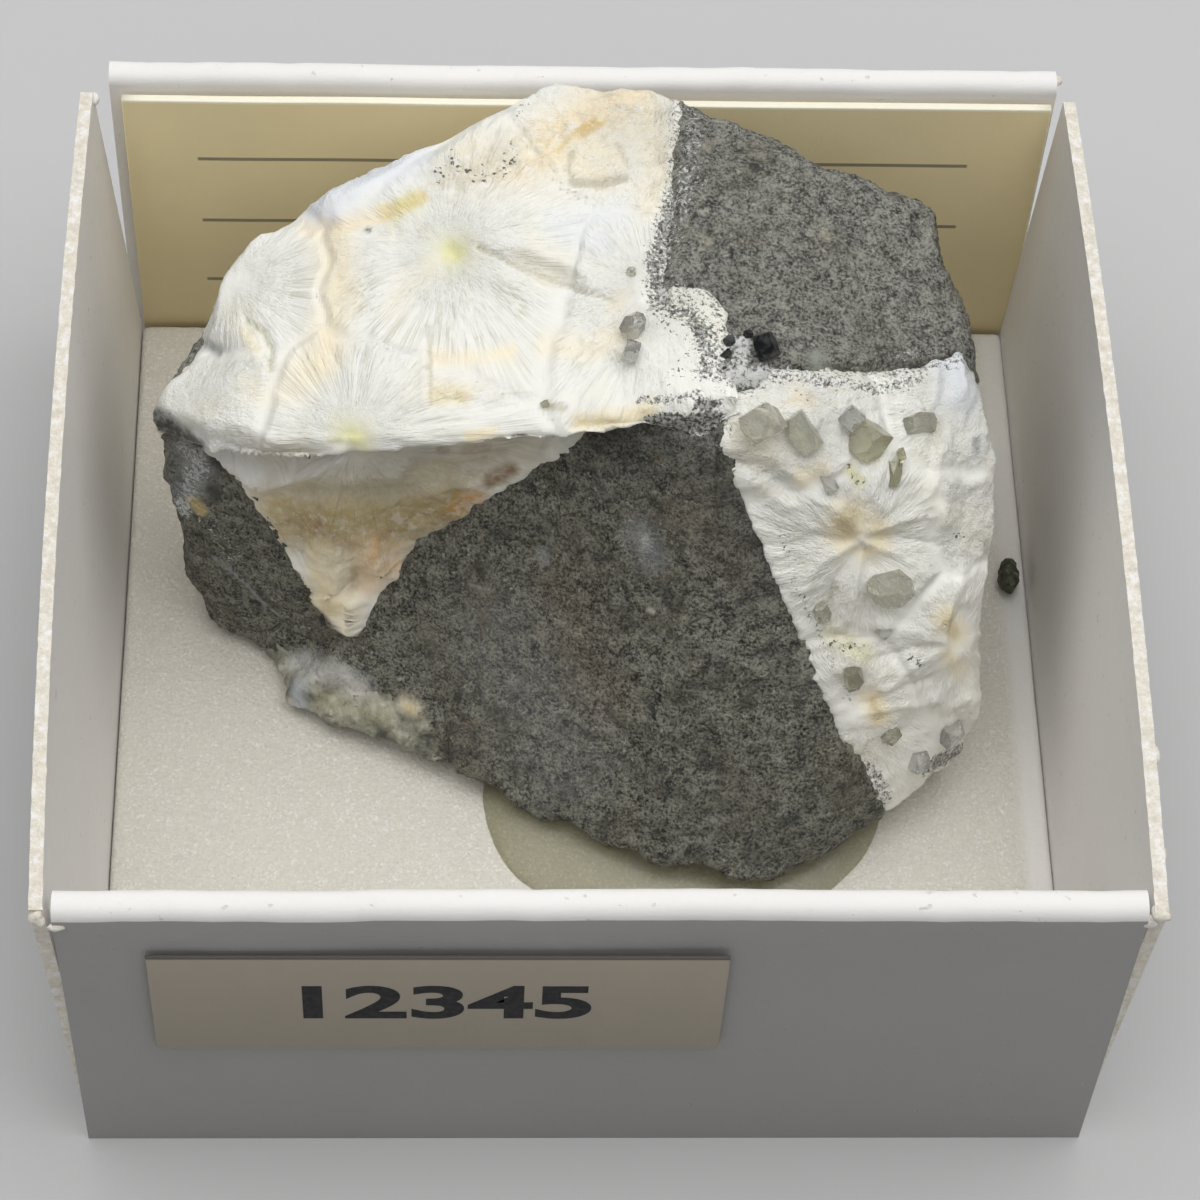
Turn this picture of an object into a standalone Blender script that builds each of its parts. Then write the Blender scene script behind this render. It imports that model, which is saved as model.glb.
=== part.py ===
"""Thomsonite specimen fixed in its card collection tray, as closed solids at real size.

Units are metres with +Z up. +X runs to the right along the front wall and +Y to the back wall. The
tray stands on z = 0 and its middle is over the origin. The stone is one broken block: its corners
are listed below in millimetres, and the veins and the crust are the parts of that block on the far
side of their contact planes, so that every piece meets its neighbour with the same small gap.
"""

import math
import random

import bmesh
import bpy
from mathutils import Euler, Matrix, Vector, noise
from mathutils.bvhtree import BVHTree

MM = 0.001
SEED = 4

# The tray, folded from one sheet of card.
TRAY_SIDE = 40.0 * MM
TRAY_HEIGHT = 18.0 * MM
CARD_THICKNESS = 0.5 * MM
DOUBLE_WALL = 1.2 * MM
FLOOR_INSET = 0.4 * MM
FRONT_WALL_LENGTH = 38.8 * MM
SIDE_WALL_FOOT = 19.35 * MM
SIDE_WALL_ENDS = (-19.6 * MM, 18.1 * MM)
SIDE_WALL_SPLAY = {"left": (0.85 * MM, 1.15 * MM), "right": (0.78 * MM, 0.75 * MM)}
SIDE_WALL_BOW = 0.33 * MM
SIDE_WALL_DROP = 0.25 * MM
RIM_ROUNDING = 0.5 * MM

# What lies in the tray and on it.
GAP = 0.3 * MM
FOAM_LENGTH = 37.6 * MM
FOAM_FRONT = -18.5 * MM
FOAM_BACK = 17.8 * MM
FOAM_TOP = 2.45 * MM
FOAM_CHAMFER = 0.25 * MM
LABEL_LENGTH = 38.2 * MM
LABEL_TOP = 17.2 * MM
LABEL_THICKNESS = 0.35 * MM
LABEL_FRONT = 18.13 * MM
LABEL_MIDDLE_X = 0.1 * MM
STICKER_SIZE = (20.9 * MM, 0.15 * MM, 7.1 * MM)
STICKER_MIDDLE = (-5.8 * MM, 11.75 * MM)
STICKER_GAP = 0.1 * MM
GEL_MIDDLE = (3.9 * MM, -6.8 * MM)
GEL_RADII = (8.15 * MM, 5.5 * MM)
GEL_HEIGHT = 1.9 * MM
GEL_WAIST = 0.15 * MM
GEL_CLEARANCE_PLANE = ((4.0, -10.0, 3.45), (10.0, -10.0, 3.45), (4.0, 0.0, 2.95))
CRUMB_MIDDLE = (18.15 * MM, 4.45 * MM)
CRUMB_SIZE = (0.9 * MM, 1.8 * MM, 1.2 * MM)
CRUMB_GAP = 0.1 * MM

# Corners of the broken block, in millimetres, edge by edge.
FRONT_LIP = (
    (-17.1, 2.6, 17.0), (-14.8, 1.1, 18.2), (-12.2, -0.4, 19.2), (-9.1, -0.7, 20.0),
    (-4.7, -1.0, 20.3), (-1.0, -0.2, 20.8), (2.2, 0.1, 21.2), (3.5, -0.2, 21.5),
)
TOP_OUTLINE = (
    (4.7, 0.4, 21.4), (13.7, 3.8, 19.4), (14.9, 4.0, 18.3), (14.6, 6.4, 18.8), (13.5, 10.9, 19.9),
    (10.9, 10.8, 20.5), (7.3, 12.0, 21.5), (4.3, 13.6, 22.0), (2.5, 15.2, 22.0), (-1.4, 15.1, 22.0),
    (-3.1, 13.6, 22.0), (-6.0, 11.9, 21.5), (-10.0, 10.5, 20.5), (-13.2, 10.0, 19.0),
    (-14.6, 7.8, 18.6), (-16.9, 3.8, 17.5),
)
RIGHT_SIDE = (
    (8.4, -1.5, 19.2), (12.8, -0.7, 18.2), (15.2, 1.5, 18.0), (15.5, 0.7, 16.8), (15.5, -1.1, 15.2),
    (10.1, -3.0, 16.6), (13.4, -4.5, 13.4), (15.0, -3.1, 13.0), (15.3, -5.1, 8.6), (12.3, -6.0, 10.2),
    (15.6, -4.8, 7.6),
)
BOTTOM_OUTLINE = (
    (15.3, -5.1, 4.6), (13.6, -5.9, 4.4), (11.9, -8.3, 4.2), (10.0, -9.5, 4.1), (7.6, -10.8, 4.0),
    (5.9, -10.8, 4.0), (2.7, -10.1, 4.0), (-2.2, -7.8, 3.6), (-5.2, -5.5, 3.5), (-10.6, -3.0, 3.2),
    (-11.9, -2.3, 3.2), (-13.6, 0.7, 3.1), (-15.6, 2.3, 3.0),
)
LEFT_SIDE = ((-16.2, 3.0, 5.5), (-16.0, 3.3, 9.0), (-16.3, 3.0, 11.5), (-16.4, 2.8, 13.5))
HIDDEN_BACK = (
    (-15.4, 6.6, 3.2), (-12.5, 9.0, 3.1), (-4.5, 12.6, 3.0), (3.0, 13.6, 3.1), (9.5, 10.6, 3.4),
    (14.4, 5.6, 4.0), (-16.2, 7.2, 11.0), (-8.0, 12.6, 12.5), (0.5, 16.0, 13.0), (9.5, 12.8, 12.0),
    (15.2, 7.6, 11.0),
)

CORNERS = FRONT_LIP + TOP_OUTLINE + RIGHT_SIDE + BOTTOM_OUTLINE + LEFT_SIDE + HIDDEN_BACK

# The overhung ledge under the front lip, left and right of its prow: what is in front of the ledge
# face, above the dark face and below the lip's underside is broken away.
LEDGE_FACE_LEFT = ((-16.4, 2.6, 10.0), (-9.4, -1.1, 7.4), (-9.2, -0.5, 19.5))
LEDGE_FACE_RIGHT = ((-7.4, 0.2, 11.6), (-1.0, 0.4, 18.0), (-4.7, -0.3, 20.0))
LIP_UNDERSIDE_LEFT = ((-9.1, -0.7, 19.2), (-16.6, 2.4, 15.9), (-12.0, 2.0, 17.4))
LIP_UNDERSIDE_RIGHT = ((-9.1, -0.7, 19.3), (2.2, 0.1, 20.6), (-4.0, 2.0, 19.3))
DARK_FACE_LEFT = ((-9.4, -1.1, 7.2), (-12.1, -0.4, 3.4), (-10.15, -6.1, 6.2))
DARK_FACE_RIGHT = ((-10.6, -3.0, 3.2), (2.7, -10.1, 4.0), (3.5, -0.2, 21.3))

# Contacts of the left vein with the basalt: a sheet over the top, and a wedge of it that points
# down at the ledge.
SHEET_LEFT = ((-13.2, 1.3, 14.9), (-16.7, 2.7, 16.4), (-13.2, 11.3, 15.9))
SHEET_RIGHT = ((-7.4, 0.2, 11.6), (1.0, 0.5, 20.6), (3.5, 14.0, 22.0))
WEDGE_LEFT = ((-9.4, -1.1, 7.2), (-13.2, 1.3, 14.9), (-13.2, 11.3, 14.9))
WEDGE_RIGHT = ((-9.4, -1.1, 7.2), (-7.4, 0.2, 11.6), (-6.4, 10.0, 12.6))
# The thin end of the sheet that reaches round the top corner of the dark face.
SHEET_END = ((0.6, -2.0, 20.5), (4.3, 4.5, 24.0))
# The right vein: a slab that is open to the right front, and ends on a straight line down the
# dark face.
SLAB_EDGE = ((4.7, 0.3, 21.2), (12.2, -7.6, 5.0), (3.0, -20.0, 40.0))
SLAB_BACK = ((4.9, 0.6, 21.1), (13.4, 3.2, 18.9), (13.5, -4.2, 4.4))
# The thin crust along the lower left edge.
CRUST_TOP = ((-10.2, -2.9, 6.0), (-6.6, -4.4, 6.2), (-9.0, 3.0, 3.7))
CRUST_LEFT = ((-12.2, 0.0, 0.0), (-12.2, 0.0, 9.0), (-11.4, 9.0, 0.0))
CRUST_RIGHT = ((-5.0, 0.0, 0.0), (-6.4, 0.0, 9.0), (-5.0, -9.0, 0.0))

# Dents in the block: middle, radius and depth.
DENTS = (
    ((-16.6, 5.9, 18.1), 2.3, 1.1),
    ((-11.8, 10.6, 20.6), 1.8, 0.5),
    ((4.6, 13.6, 22.6), 1.6, 0.5),
    ((-6.8, -5.9, 3.4), 2.2, 0.5),
    ((14.9, 9.0, 19.0), 1.4, 0.4),
)
BLOCK_MIDDLE = (0.0, 3.0, 12.0)
BLOCK_STRETCH = (1.3, 1.05, 0.8)
BLOCK_SUBDIVISIONS = 5
CORNER_REACH = 0.8
ROUGHNESS = ((0.30, 0.30), (0.12, 0.95))

# Middles of the needle fans on the left vein: place and reach.
FANS = (
    ((-5.5, 7.3, 21.3), 5.4), ((-9.1, -0.3, 20.0), 4.6), ((-13.2, 6.6, 18.9), 3.0),
    ((0.8, 4.7, 21.4), 4.0),
)
FAN_RAYS = 9
FAN_RELIEF = 0.16

# Glassy crystals: a point over the face they grow on, their size and their turn.
GLASSY_CRYSTALS = (
    (6.3, -0.1, 1.5, 0.3), (8.0, 0.0, 1.2, 1.1), (9.7, 0.8, 1.3, 0.7), (10.6, 0.3, 1.7, 0.5),
    (11.5, -0.3, 1.2, 1.4), (12.6, 1.5, 1.1, 0.2), (11.8, -3.6, 1.9, 0.9), (11.4, -4.5, 1.1, 0.4),
    (10.3, -5.6, 1.1, 1.3), (12.0, -6.6, 1.0, 0.1), (13.3, -6.2, 0.9, 0.8), (14.6, -5.3, 0.9, 0.6),
)
JUNCTION_CRYSTALS = ((1.6, 3.5, 1.3, 0.5), (1.3, 2.5, 1.1, 1.2), (2.2, 2.0, 0.9, 0.2))
AUGITE_CRYSTALS = ((6.4, 2.9, 1.4, 0.6), (5.3, 2.6, 0.7, 0.2))


def clear_scene():
    for obj in list(bpy.data.objects):
        bpy.data.objects.remove(obj, do_unlink=True)


def new_collection(name):
    collection = bpy.data.collections.new(name)
    bpy.context.scene.collection.children.link(collection)
    return collection


def material(name, colour, roughness, transmission=0.0, ior=1.5):
    made = bpy.data.materials.new(name)
    made.use_nodes = True
    shader = made.node_tree.nodes["Principled BSDF"]
    shader.inputs["Base Color"].default_value = (*colour, 1.0)
    shader.inputs["Roughness"].default_value = roughness
    shader.inputs["Metallic"].default_value = 0.0
    shader.inputs["Transmission Weight"].default_value = transmission
    shader.inputs["IOR"].default_value = ior
    return made


def add_object(name, bm, collection, surface=None):
    bmesh.ops.recalc_face_normals(bm, faces=bm.faces[:])
    mesh = bpy.data.meshes.new(name)
    bm.to_mesh(mesh)
    bm.free()
    obj = bpy.data.objects.new(name, mesh)
    collection.objects.link(obj)
    if surface is not None:
        mesh.materials.append(surface)
    return obj


def add_cutter(name, bm, collection):
    obj = add_object(name, bm, collection)
    obj.hide_render = True
    obj.display_type = "WIRE"
    return obj


def boolean(obj, cutter, operation, overlapping=False):
    """Adds a Boolean; overlapping says that shapes within one of the meshes run into each other."""
    modifier = obj.modifiers.new(f"{operation.title()} {cutter.name}", "BOOLEAN")
    modifier.operation = operation
    modifier.object = cutter
    modifier.solver = "EXACT"
    modifier.use_self = overlapping


def box(low, high):
    """A box between two corners, in metres."""
    bm = bmesh.new()
    low, high = Vector(low), Vector(high)
    middle = Matrix.Translation((low + high) / 2)
    bmesh.ops.create_cube(bm, size=1.0, matrix=middle @ Matrix.Diagonal((*(high - low), 1.0)))
    return bm


def bevel_edges(bm, chosen, width, segments):
    bmesh.ops.bevel(bm, geom=chosen, offset=width, offset_type="OFFSET", segments=segments, profile=0.5,
                    affect="EDGES")


def doubled_wall(side):
    """The front (-1) or back (1) wall, whose card is folded over into a rounded rim."""
    outer = side * TRAY_SIDE / 2
    inner = outer - side * DOUBLE_WALL
    half = FRONT_WALL_LENGTH / 2
    bm = box((-half, min(outer, inner), 0.0), (half, max(outer, inner), TRAY_HEIGHT))
    rim = [edge for edge in bm.edges
           if all(abs(v.co.z - TRAY_HEIGHT) < 1e-6 for v in edge.verts)
           and abs(edge.verts[0].co.x - edge.verts[1].co.x) > half]
    bevel_edges(bm, rim, RIM_ROUNDING, 3)
    return bm


def side_wall(name, side):
    """A single wall that leans out towards its rim and bows out at the middle of its length."""
    front, back = SIDE_WALL_ENDS
    top = TRAY_HEIGHT - SIDE_WALL_DROP
    bm = box((0.0, front, 0.0), (CARD_THICKNESS, back, top))
    lengthwise = [e for e in bm.edges if abs(e.verts[0].co.y - e.verts[1].co.y) > top]
    bmesh.ops.subdivide_edges(bm, edges=lengthwise, cuts=11, use_grid_fill=True)
    upright = [e for e in bm.edges if abs(e.verts[0].co.z - e.verts[1].co.z) > top / 2]
    bmesh.ops.subdivide_edges(bm, edges=upright, cuts=3, use_grid_fill=True)
    at_front, at_back = SIDE_WALL_SPLAY[name]
    for vert in bm.verts:
        rise = vert.co.z / top
        along = (vert.co.y - front) / (back - front)
        splay = at_front + (at_back - at_front) * along
        bow = 4 * SIDE_WALL_BOW * along * (1 - along)
        vert.co.x = side * (SIDE_WALL_FOOT + (splay + bow) * rise - vert.co.x)
    return bm


def card_tray(parts, cutters):
    floor = FRONT_WALL_LENGTH / 2
    edge = TRAY_SIDE / 2 - FLOOR_INSET
    card = material("white card", (0.86, 0.85, 0.84), 0.7)
    tray = add_object("card_tray", box((-floor, -edge, 0.0), (floor, edge, CARD_THICKNESS)), parts, card)
    for name, side in (("front", -1), ("back", 1)):
        boolean(tray, add_cutter(f"{name} wall", doubled_wall(side), cutters), "UNION")
    for name, side in (("left", -1), ("right", 1)):
        boolean(tray, add_cutter(f"{name} wall", side_wall(name, side), cutters), "UNION")
    return tray


def foam_pad(parts):
    half = FOAM_LENGTH / 2
    bm = box((-half, FOAM_FRONT, CARD_THICKNESS + GAP), (half, FOAM_BACK, FOAM_TOP))
    bevel_edges(bm, bm.edges[:], FOAM_CHAMFER, 1)
    return add_object("foam_pad", bm, parts, material("foam", (0.72, 0.69, 0.63), 0.9))


def label_card(parts):
    low = (LABEL_MIDDLE_X - LABEL_LENGTH / 2, LABEL_FRONT, CARD_THICKNESS + GAP)
    high = (LABEL_MIDDLE_X + LABEL_LENGTH / 2, LABEL_FRONT + LABEL_THICKNESS, LABEL_TOP)
    return add_object("label_card", box(low, high), parts, material("cream card", (0.80, 0.72, 0.52), 0.75))


def number_sticker(parts):
    length, thickness, height = STICKER_SIZE
    middle_x, middle_z = STICKER_MIDDLE
    back = -TRAY_SIDE / 2 - STICKER_GAP
    low = (middle_x - length / 2, back - thickness, middle_z - height / 2)
    high = (middle_x + length / 2, back, middle_z + height / 2)
    return add_object("number_sticker", box(low, high), parts, material("paper", (0.62, 0.59, 0.55), 0.8))


def mounting_gel(parts, cutters):
    """A flattened drop between the foam and the underside of the stone."""
    bottom = FOAM_TOP + GAP
    size = (*GEL_RADII, GEL_HEIGHT)
    bm = bmesh.new()
    place = Matrix.Translation((*GEL_MIDDLE, bottom + GEL_WAIST))
    bmesh.ops.create_uvsphere(bm, u_segments=28, v_segments=14, radius=1.0,
                              matrix=place @ Matrix.Diagonal((*size, 1.0)))
    surface = material("gel", (0.72, 0.75, 0.58), 0.3, transmission=0.6, ior=1.45)
    gel = add_object("mounting_gel", bm, parts, surface)
    reach = 2 * max(GEL_RADII)
    middle = Vector((*GEL_MIDDLE, 0.0))
    below = box(middle - Vector((reach, reach, reach)), middle + Vector((reach, reach, bottom)))
    boolean(gel, add_cutter("under the gel", below, cutters), "DIFFERENCE")
    above = half_spaces([plane(*GEL_CLEARANCE_PLANE, away=(4.0, -6.0, 0.0))])
    boolean(gel, add_cutter("over the gel", above, cutters), "DIFFERENCE")
    return gel


def stone_crumb(parts):
    """A loose grain that lies on the foam against the right wall."""
    bm = bmesh.new()
    height = CRUMB_SIZE[2]
    place = Matrix.Translation((*CRUMB_MIDDLE, FOAM_TOP + CRUMB_GAP + height / 2))
    bmesh.ops.create_icosphere(bm, subdivisions=2, radius=0.5,
                               matrix=place @ Matrix.Diagonal((*CRUMB_SIZE, 1.0)))
    for vert in bm.verts:
        swell = noise.noise(vert.co / (0.6 * MM))
        away = vert.co - place.translation
        vert.co = place.translation + away * (1.0 - 0.16 * abs(swell))
    return add_object("stone_crumb", bm, parts, material("crumb", (0.06, 0.06, 0.05), 0.8))


def plane(a, b, c, away=None, toward=None):
    """The plane through three points in millimetres, as a point and a normal in metres.

    Its normal is turned to point away from the millimetre point `away`, or toward `toward`.
    """
    a, b, c = (Vector(point) * MM for point in (a, b, c))
    normal = (b - a).cross(c - a).normalized()
    side = Vector(away if away is not None else toward) * MM - a
    if (side.dot(normal) > 0) == (away is not None):
        normal.negate()
    return a, normal


def half_spaces(planes, grown=0.0, size=90.0 * MM):
    """The convex solid on the normals' side of every plane, grown outwards by a distance."""
    bm = bmesh.new()
    bmesh.ops.create_cube(bm, size=size, matrix=Matrix.Translation((0.0, 0.0, 12.0 * MM)))
    for point, normal in planes:
        cut = bmesh.ops.bisect_plane(bm, geom=bm.verts[:] + bm.edges[:] + bm.faces[:], dist=1e-8,
                                     plane_co=point - normal * grown, plane_no=-normal,
                                     clear_outer=True)
        rim = [item for item in cut["geom_cut"] if isinstance(item, bmesh.types.BMEdge)]
        bmesh.ops.edgeloop_fill(bm, edges=rim)
    bmesh.ops.triangulate(bm, faces=bm.faces[:])
    return bm


def fan_height(x, y):
    """Relief in millimetres of the needle fans at a place on the vein's top."""
    height = 0.0
    for (fan_x, fan_y, _), reach in FANS:
        away = math.hypot(x - fan_x, y - fan_y)
        if away > reach:
            continue
        turn = math.atan2(y - fan_y, x - fan_x)
        ray = 0.6 * math.sin(FAN_RAYS * turn + fan_x) + 0.4 * math.sin(2.3 * FAN_RAYS * turn + fan_y)
        height += FAN_RELIEF * ray * math.sin(math.pi * away / reach)
    return height


def roughen(bm):
    """Gives the block its dents, its broken surface and the relief of the fans."""
    bm.normal_update()
    moved = {}
    for vert in bm.verts:
        at = vert.co / MM
        rise = sum(size * noise.noise(at * often) for size, often in ROUGHNESS)
        for middle, radius, depth in DENTS:
            near = (at - Vector(middle)).length / radius
            rise -= depth * math.exp(-near * near)
        if vert.normal.z > 0.8 and at.x < 2.5:
            rise += fan_height(at.x, at.y)
        moved[vert] = vert.co + vert.normal * rise * MM
    for vert, place in moved.items():
        vert.co = place


def stone_block():
    """The broken block before it is divided: an even mesh drawn out from the middle to the corners' hull."""
    corners = [Vector(corner) * MM for corner in CORNERS]
    hull = bmesh.new()
    for corner in corners:
        hull.verts.new(corner)
    bmesh.ops.convex_hull(hull, input=hull.verts[:])
    outside = BVHTree.FromBMesh(hull)
    hull.free()

    bm = bmesh.new()
    bmesh.ops.create_icosphere(bm, subdivisions=BLOCK_SUBDIVISIONS, radius=1.0)
    middle = Vector(BLOCK_MIDDLE) * MM
    for vert in bm.verts:
        outward = Vector(vert.co[i] * BLOCK_STRETCH[i] for i in range(3)).normalized()
        vert.co = outside.ray_cast(middle, outward)[0]
    taken = set()
    for corner in corners:
        nearest = min(bm.verts, key=lambda vert: (vert.co - corner).length_squared)
        if nearest.index not in taken and (nearest.co - corner).length < CORNER_REACH * MM:
            nearest.co = corner
            taken.add(nearest.index)
    bmesh.ops.recalc_face_normals(bm, faces=bm.faces[:])
    roughen(bm)
    return bm


def crystals(places, surface, sunk=0.12):
    """Small blocky crystals with flat faces, set into the surface below each given place."""
    grown = bmesh.new()
    for number, (x, y, size, turn) in enumerate(places):
        hit, normal, _, _ = surface.ray_cast(Vector((x, y, 40.0)) * MM, Vector((0.0, 0.0, -1.0)))
        lean = Vector((0.0, 0.0, 1.0)).rotation_difference(normal).to_matrix().to_4x4()
        tilt = Euler((0.5 + 0.2 * number, 0.6, turn)).to_matrix().to_4x4()
        middle = Matrix.Translation(hit - normal * size * sunk * MM)
        stretch = Matrix.Diagonal((1.0, 0.85, 0.9, 1.0))
        made = bmesh.ops.create_cube(grown, size=size * 0.8 * MM, matrix=middle @ lean @ tilt @ stretch)
        corners = [v for v in made["verts"] if random.random() < 0.5]
        bmesh.ops.bevel(grown, geom=corners, offset=size * 0.2 * MM, segments=1, profile=0.5,
                        affect="VERTICES")
    bmesh.ops.triangulate(grown, faces=grown.faces[:])
    return grown


def stone(parts, cutters):
    """The four pieces of the stone, cut from one block."""
    block = stone_block()
    surface = BVHTree.FromBMesh(block)
    hollows = []
    for name, face, foot, underside in (
        ("ledge left", LEDGE_FACE_LEFT, DARK_FACE_LEFT, LIP_UNDERSIDE_LEFT),
        ("ledge right", LEDGE_FACE_RIGHT, DARK_FACE_RIGHT, LIP_UNDERSIDE_RIGHT),
    ):
        removed = half_spaces([plane(*face, away=(0.0, 20.0, 10.0)), plane(*foot, away=(0.0, 5.0, 5.0)),
                               plane(*underside, toward=(0.0, 0.0, 0.0))])
        hollows.append(add_cutter(name, removed, cutters))

    above = (-9.0, 5.0, 30.0)
    zones = {
        "sheet": [plane(*SHEET_LEFT, toward=above), plane(*SHEET_RIGHT, toward=above)],
        "wedge": [plane(*WEDGE_LEFT, toward=above), plane(*WEDGE_RIGHT, toward=above)],
        "slab": [plane(*SLAB_EDGE, toward=(20.0, 0.0, 15.0)), plane(*SLAB_BACK, away=(0.0, 10.0, 5.0))],
        "crust": [plane(*CRUST_TOP, toward=(-9.0, -4.0, 0.0)),
                  plane(*CRUST_LEFT, toward=(0.0, 0.0, 0.0)),
                  plane(*CRUST_RIGHT, toward=(-20.0, 0.0, 0.0))],
    }
    exact = {name: add_cutter(name, half_spaces(planes), cutters) for name, planes in zones.items()}
    grown = {name: add_cutter(f"{name} grown", half_spaces(planes, GAP), cutters)
             for name, planes in zones.items()}
    low, high = (Vector(corner) * MM for corner in SHEET_END)
    margin = Vector((GAP, GAP, GAP))
    exact["end"] = add_cutter("sheet end", box(low, high), cutters)
    grown["end"] = add_cutter("sheet end grown", box(low - margin, high + margin), cutters)

    def piece(name, look, first):
        obj = add_object(name, block.copy(), parts, look)
        for hollow in hollows:
            boolean(obj, hollow, "DIFFERENCE")
        if first is not None:
            boolean(obj, first, "INTERSECT")
        return obj

    basalt = piece("basalt_matrix", material("basalt", (0.075, 0.072, 0.065), 0.85), None)
    for cutter in grown.values():
        boolean(basalt, cutter, "DIFFERENCE")
    augite = crystals(AUGITE_CRYSTALS, surface)
    boolean(basalt, add_cutter("augite crystals", augite, cutters), "UNION", overlapping=True)

    sheet = exact["sheet"]
    boolean(sheet, exact["wedge"], "UNION")
    boolean(sheet, exact["end"], "UNION")
    left = piece("left_vein", material("thomsonite", (0.86, 0.84, 0.78), 0.55), sheet)
    boolean(left, grown["slab"], "DIFFERENCE")
    junction = crystals(JUNCTION_CRYSTALS, surface)
    boolean(left, add_cutter("junction crystals", junction, cutters), "UNION", overlapping=True)

    right = piece("right_vein", material("thomsonite with crystals", (0.86, 0.85, 0.81), 0.5),
                  exact["slab"])
    glassy = crystals(GLASSY_CRYSTALS, surface)
    boolean(right, add_cutter("glassy crystals", glassy, cutters), "UNION", overlapping=True)

    crust = piece("zeolite_crust", material("zeolite", (0.52, 0.50, 0.42), 0.6), exact["crust"])
    boolean(crust, grown["slab"], "DIFFERENCE")
    block.free()
    return basalt, left, right, crust


def centre_over_origin(pieces, helpers):
    """Parents everything to an empty that brings the middle of the pieces' box over the origin."""
    bpy.context.view_layer.update()
    graph = bpy.context.evaluated_depsgraph_get()
    points = []
    for obj in pieces:
        evaluated = obj.evaluated_get(graph)
        points += [evaluated.matrix_world @ Vector(corner) for corner in evaluated.bound_box]
    holder = bpy.data.objects.new("specimen", None)
    pieces[0].users_collection[0].objects.link(holder)
    for axis in (0, 1):
        values = [point[axis] for point in points]
        holder.location[axis] = -(min(values) + max(values)) / 2
    for obj in (*pieces, *helpers):
        obj.parent = holder


def main():
    random.seed(SEED)
    clear_scene()
    parts = new_collection("thomsonite specimen")
    cutters = new_collection("cutters")
    pieces = [card_tray(parts, cutters), foam_pad(parts), label_card(parts), number_sticker(parts),
              mounting_gel(parts, cutters), stone_crumb(parts), *stone(parts, cutters)]
    centre_over_origin(pieces, cutters.objects)


if __name__ == "__main__":
    main()
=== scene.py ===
"""Looks of a thomsonite specimen that is fixed in its open card tray.

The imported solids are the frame. Every solid gets a finished piece in its place: the tray with its
folded rims and raw cut edges, the foam pad, the label, the sticker, the gel, the loose crumb, and
the four pieces of the stone with their needle fans, stains and small glassy crystals.
"""

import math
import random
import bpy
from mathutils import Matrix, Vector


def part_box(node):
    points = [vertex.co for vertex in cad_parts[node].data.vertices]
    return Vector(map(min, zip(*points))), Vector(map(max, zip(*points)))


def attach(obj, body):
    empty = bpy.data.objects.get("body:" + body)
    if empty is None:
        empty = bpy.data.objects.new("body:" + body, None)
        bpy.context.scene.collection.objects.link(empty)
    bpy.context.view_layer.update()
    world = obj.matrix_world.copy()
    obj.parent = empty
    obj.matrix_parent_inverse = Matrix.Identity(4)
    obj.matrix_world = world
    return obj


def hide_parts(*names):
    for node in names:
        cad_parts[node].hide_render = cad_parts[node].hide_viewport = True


bl_info = {
    "name": "Thomsonite specimen",
    "version": (1, 0, 0),
    "blender": (4, 5, 0),
    "location": "3D View > Sidebar > Specimen",
    "description": "Builds a mineral specimen in a card tray, with its finishes, lights and camera",
    "category": "Add Mesh",
}

import bmesh
import bpy
import numpy as np
from bpy.props import FloatProperty, FloatVectorProperty, PointerProperty, StringProperty
from mathutils import Euler, Matrix, Vector, noise
from mathutils.bvhtree import BVHTree

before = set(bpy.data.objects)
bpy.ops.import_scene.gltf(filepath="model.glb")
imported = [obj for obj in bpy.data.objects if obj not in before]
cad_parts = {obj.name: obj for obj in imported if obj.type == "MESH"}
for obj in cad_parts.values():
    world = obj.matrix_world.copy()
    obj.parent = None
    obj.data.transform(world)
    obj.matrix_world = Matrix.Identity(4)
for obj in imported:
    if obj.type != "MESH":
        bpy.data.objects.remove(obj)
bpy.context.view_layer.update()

MM = 0.001
ROOT = "root"
DOWN = Vector((0.0, 0.0, -1.0))
# Middle of the tray in the frame, in millimetres. Places are measured from it, apart from those that
# are said to be in the frame.
TRAY_MIDDLE = Vector((0.125, 0.125, 0.0))

# The camera in the tray's millimetres, and its focal length for a frame 1200 wide and high.
CAMERA_PLACE = Vector((-5.708, -83.732, 135.060))
CAMERA_RIGHT = Vector((0.999126, -0.018725, 0.037378))
CAMERA_UP = Vector((-0.004921, 0.835196, 0.549930))
CAMERA_FORWARD = Vector((0.041515, 0.549633, -0.834374))
FOCAL = 3777.2
FRAME_MIDDLE = 600

# Middles of the needle fans, and how far each fan reaches over its neighbours, in millimetres.
LEFT_FANS = (
    ((-5.5, 7.4, 20.6), 1.9), ((-9.1, -0.6, 19.6), 1.2), ((-13.8, 7.6, 18.2), 0.9), ((2.2, 5.0, 21.0), 0.4),
    ((-8.4, 12.0, 19.0), 0.0), ((1.5, 12.5, 20.0), 0.6), ((-14.8, 2.2, 17.0), 0.5),
)
RIGHT_FANS = (
    ((10.1, -2.7, 16.0), 1.5), ((14.0, -4.3, 12.0), 0.6), ((10.2, -6.2, 10.4), 0.6),
    ((8.4, 0.3, 18.4), 0.0), ((13.6, 2.0, 17.6), 0.4), ((13.6, -0.6, 15.4), 0.2),
)

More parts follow.
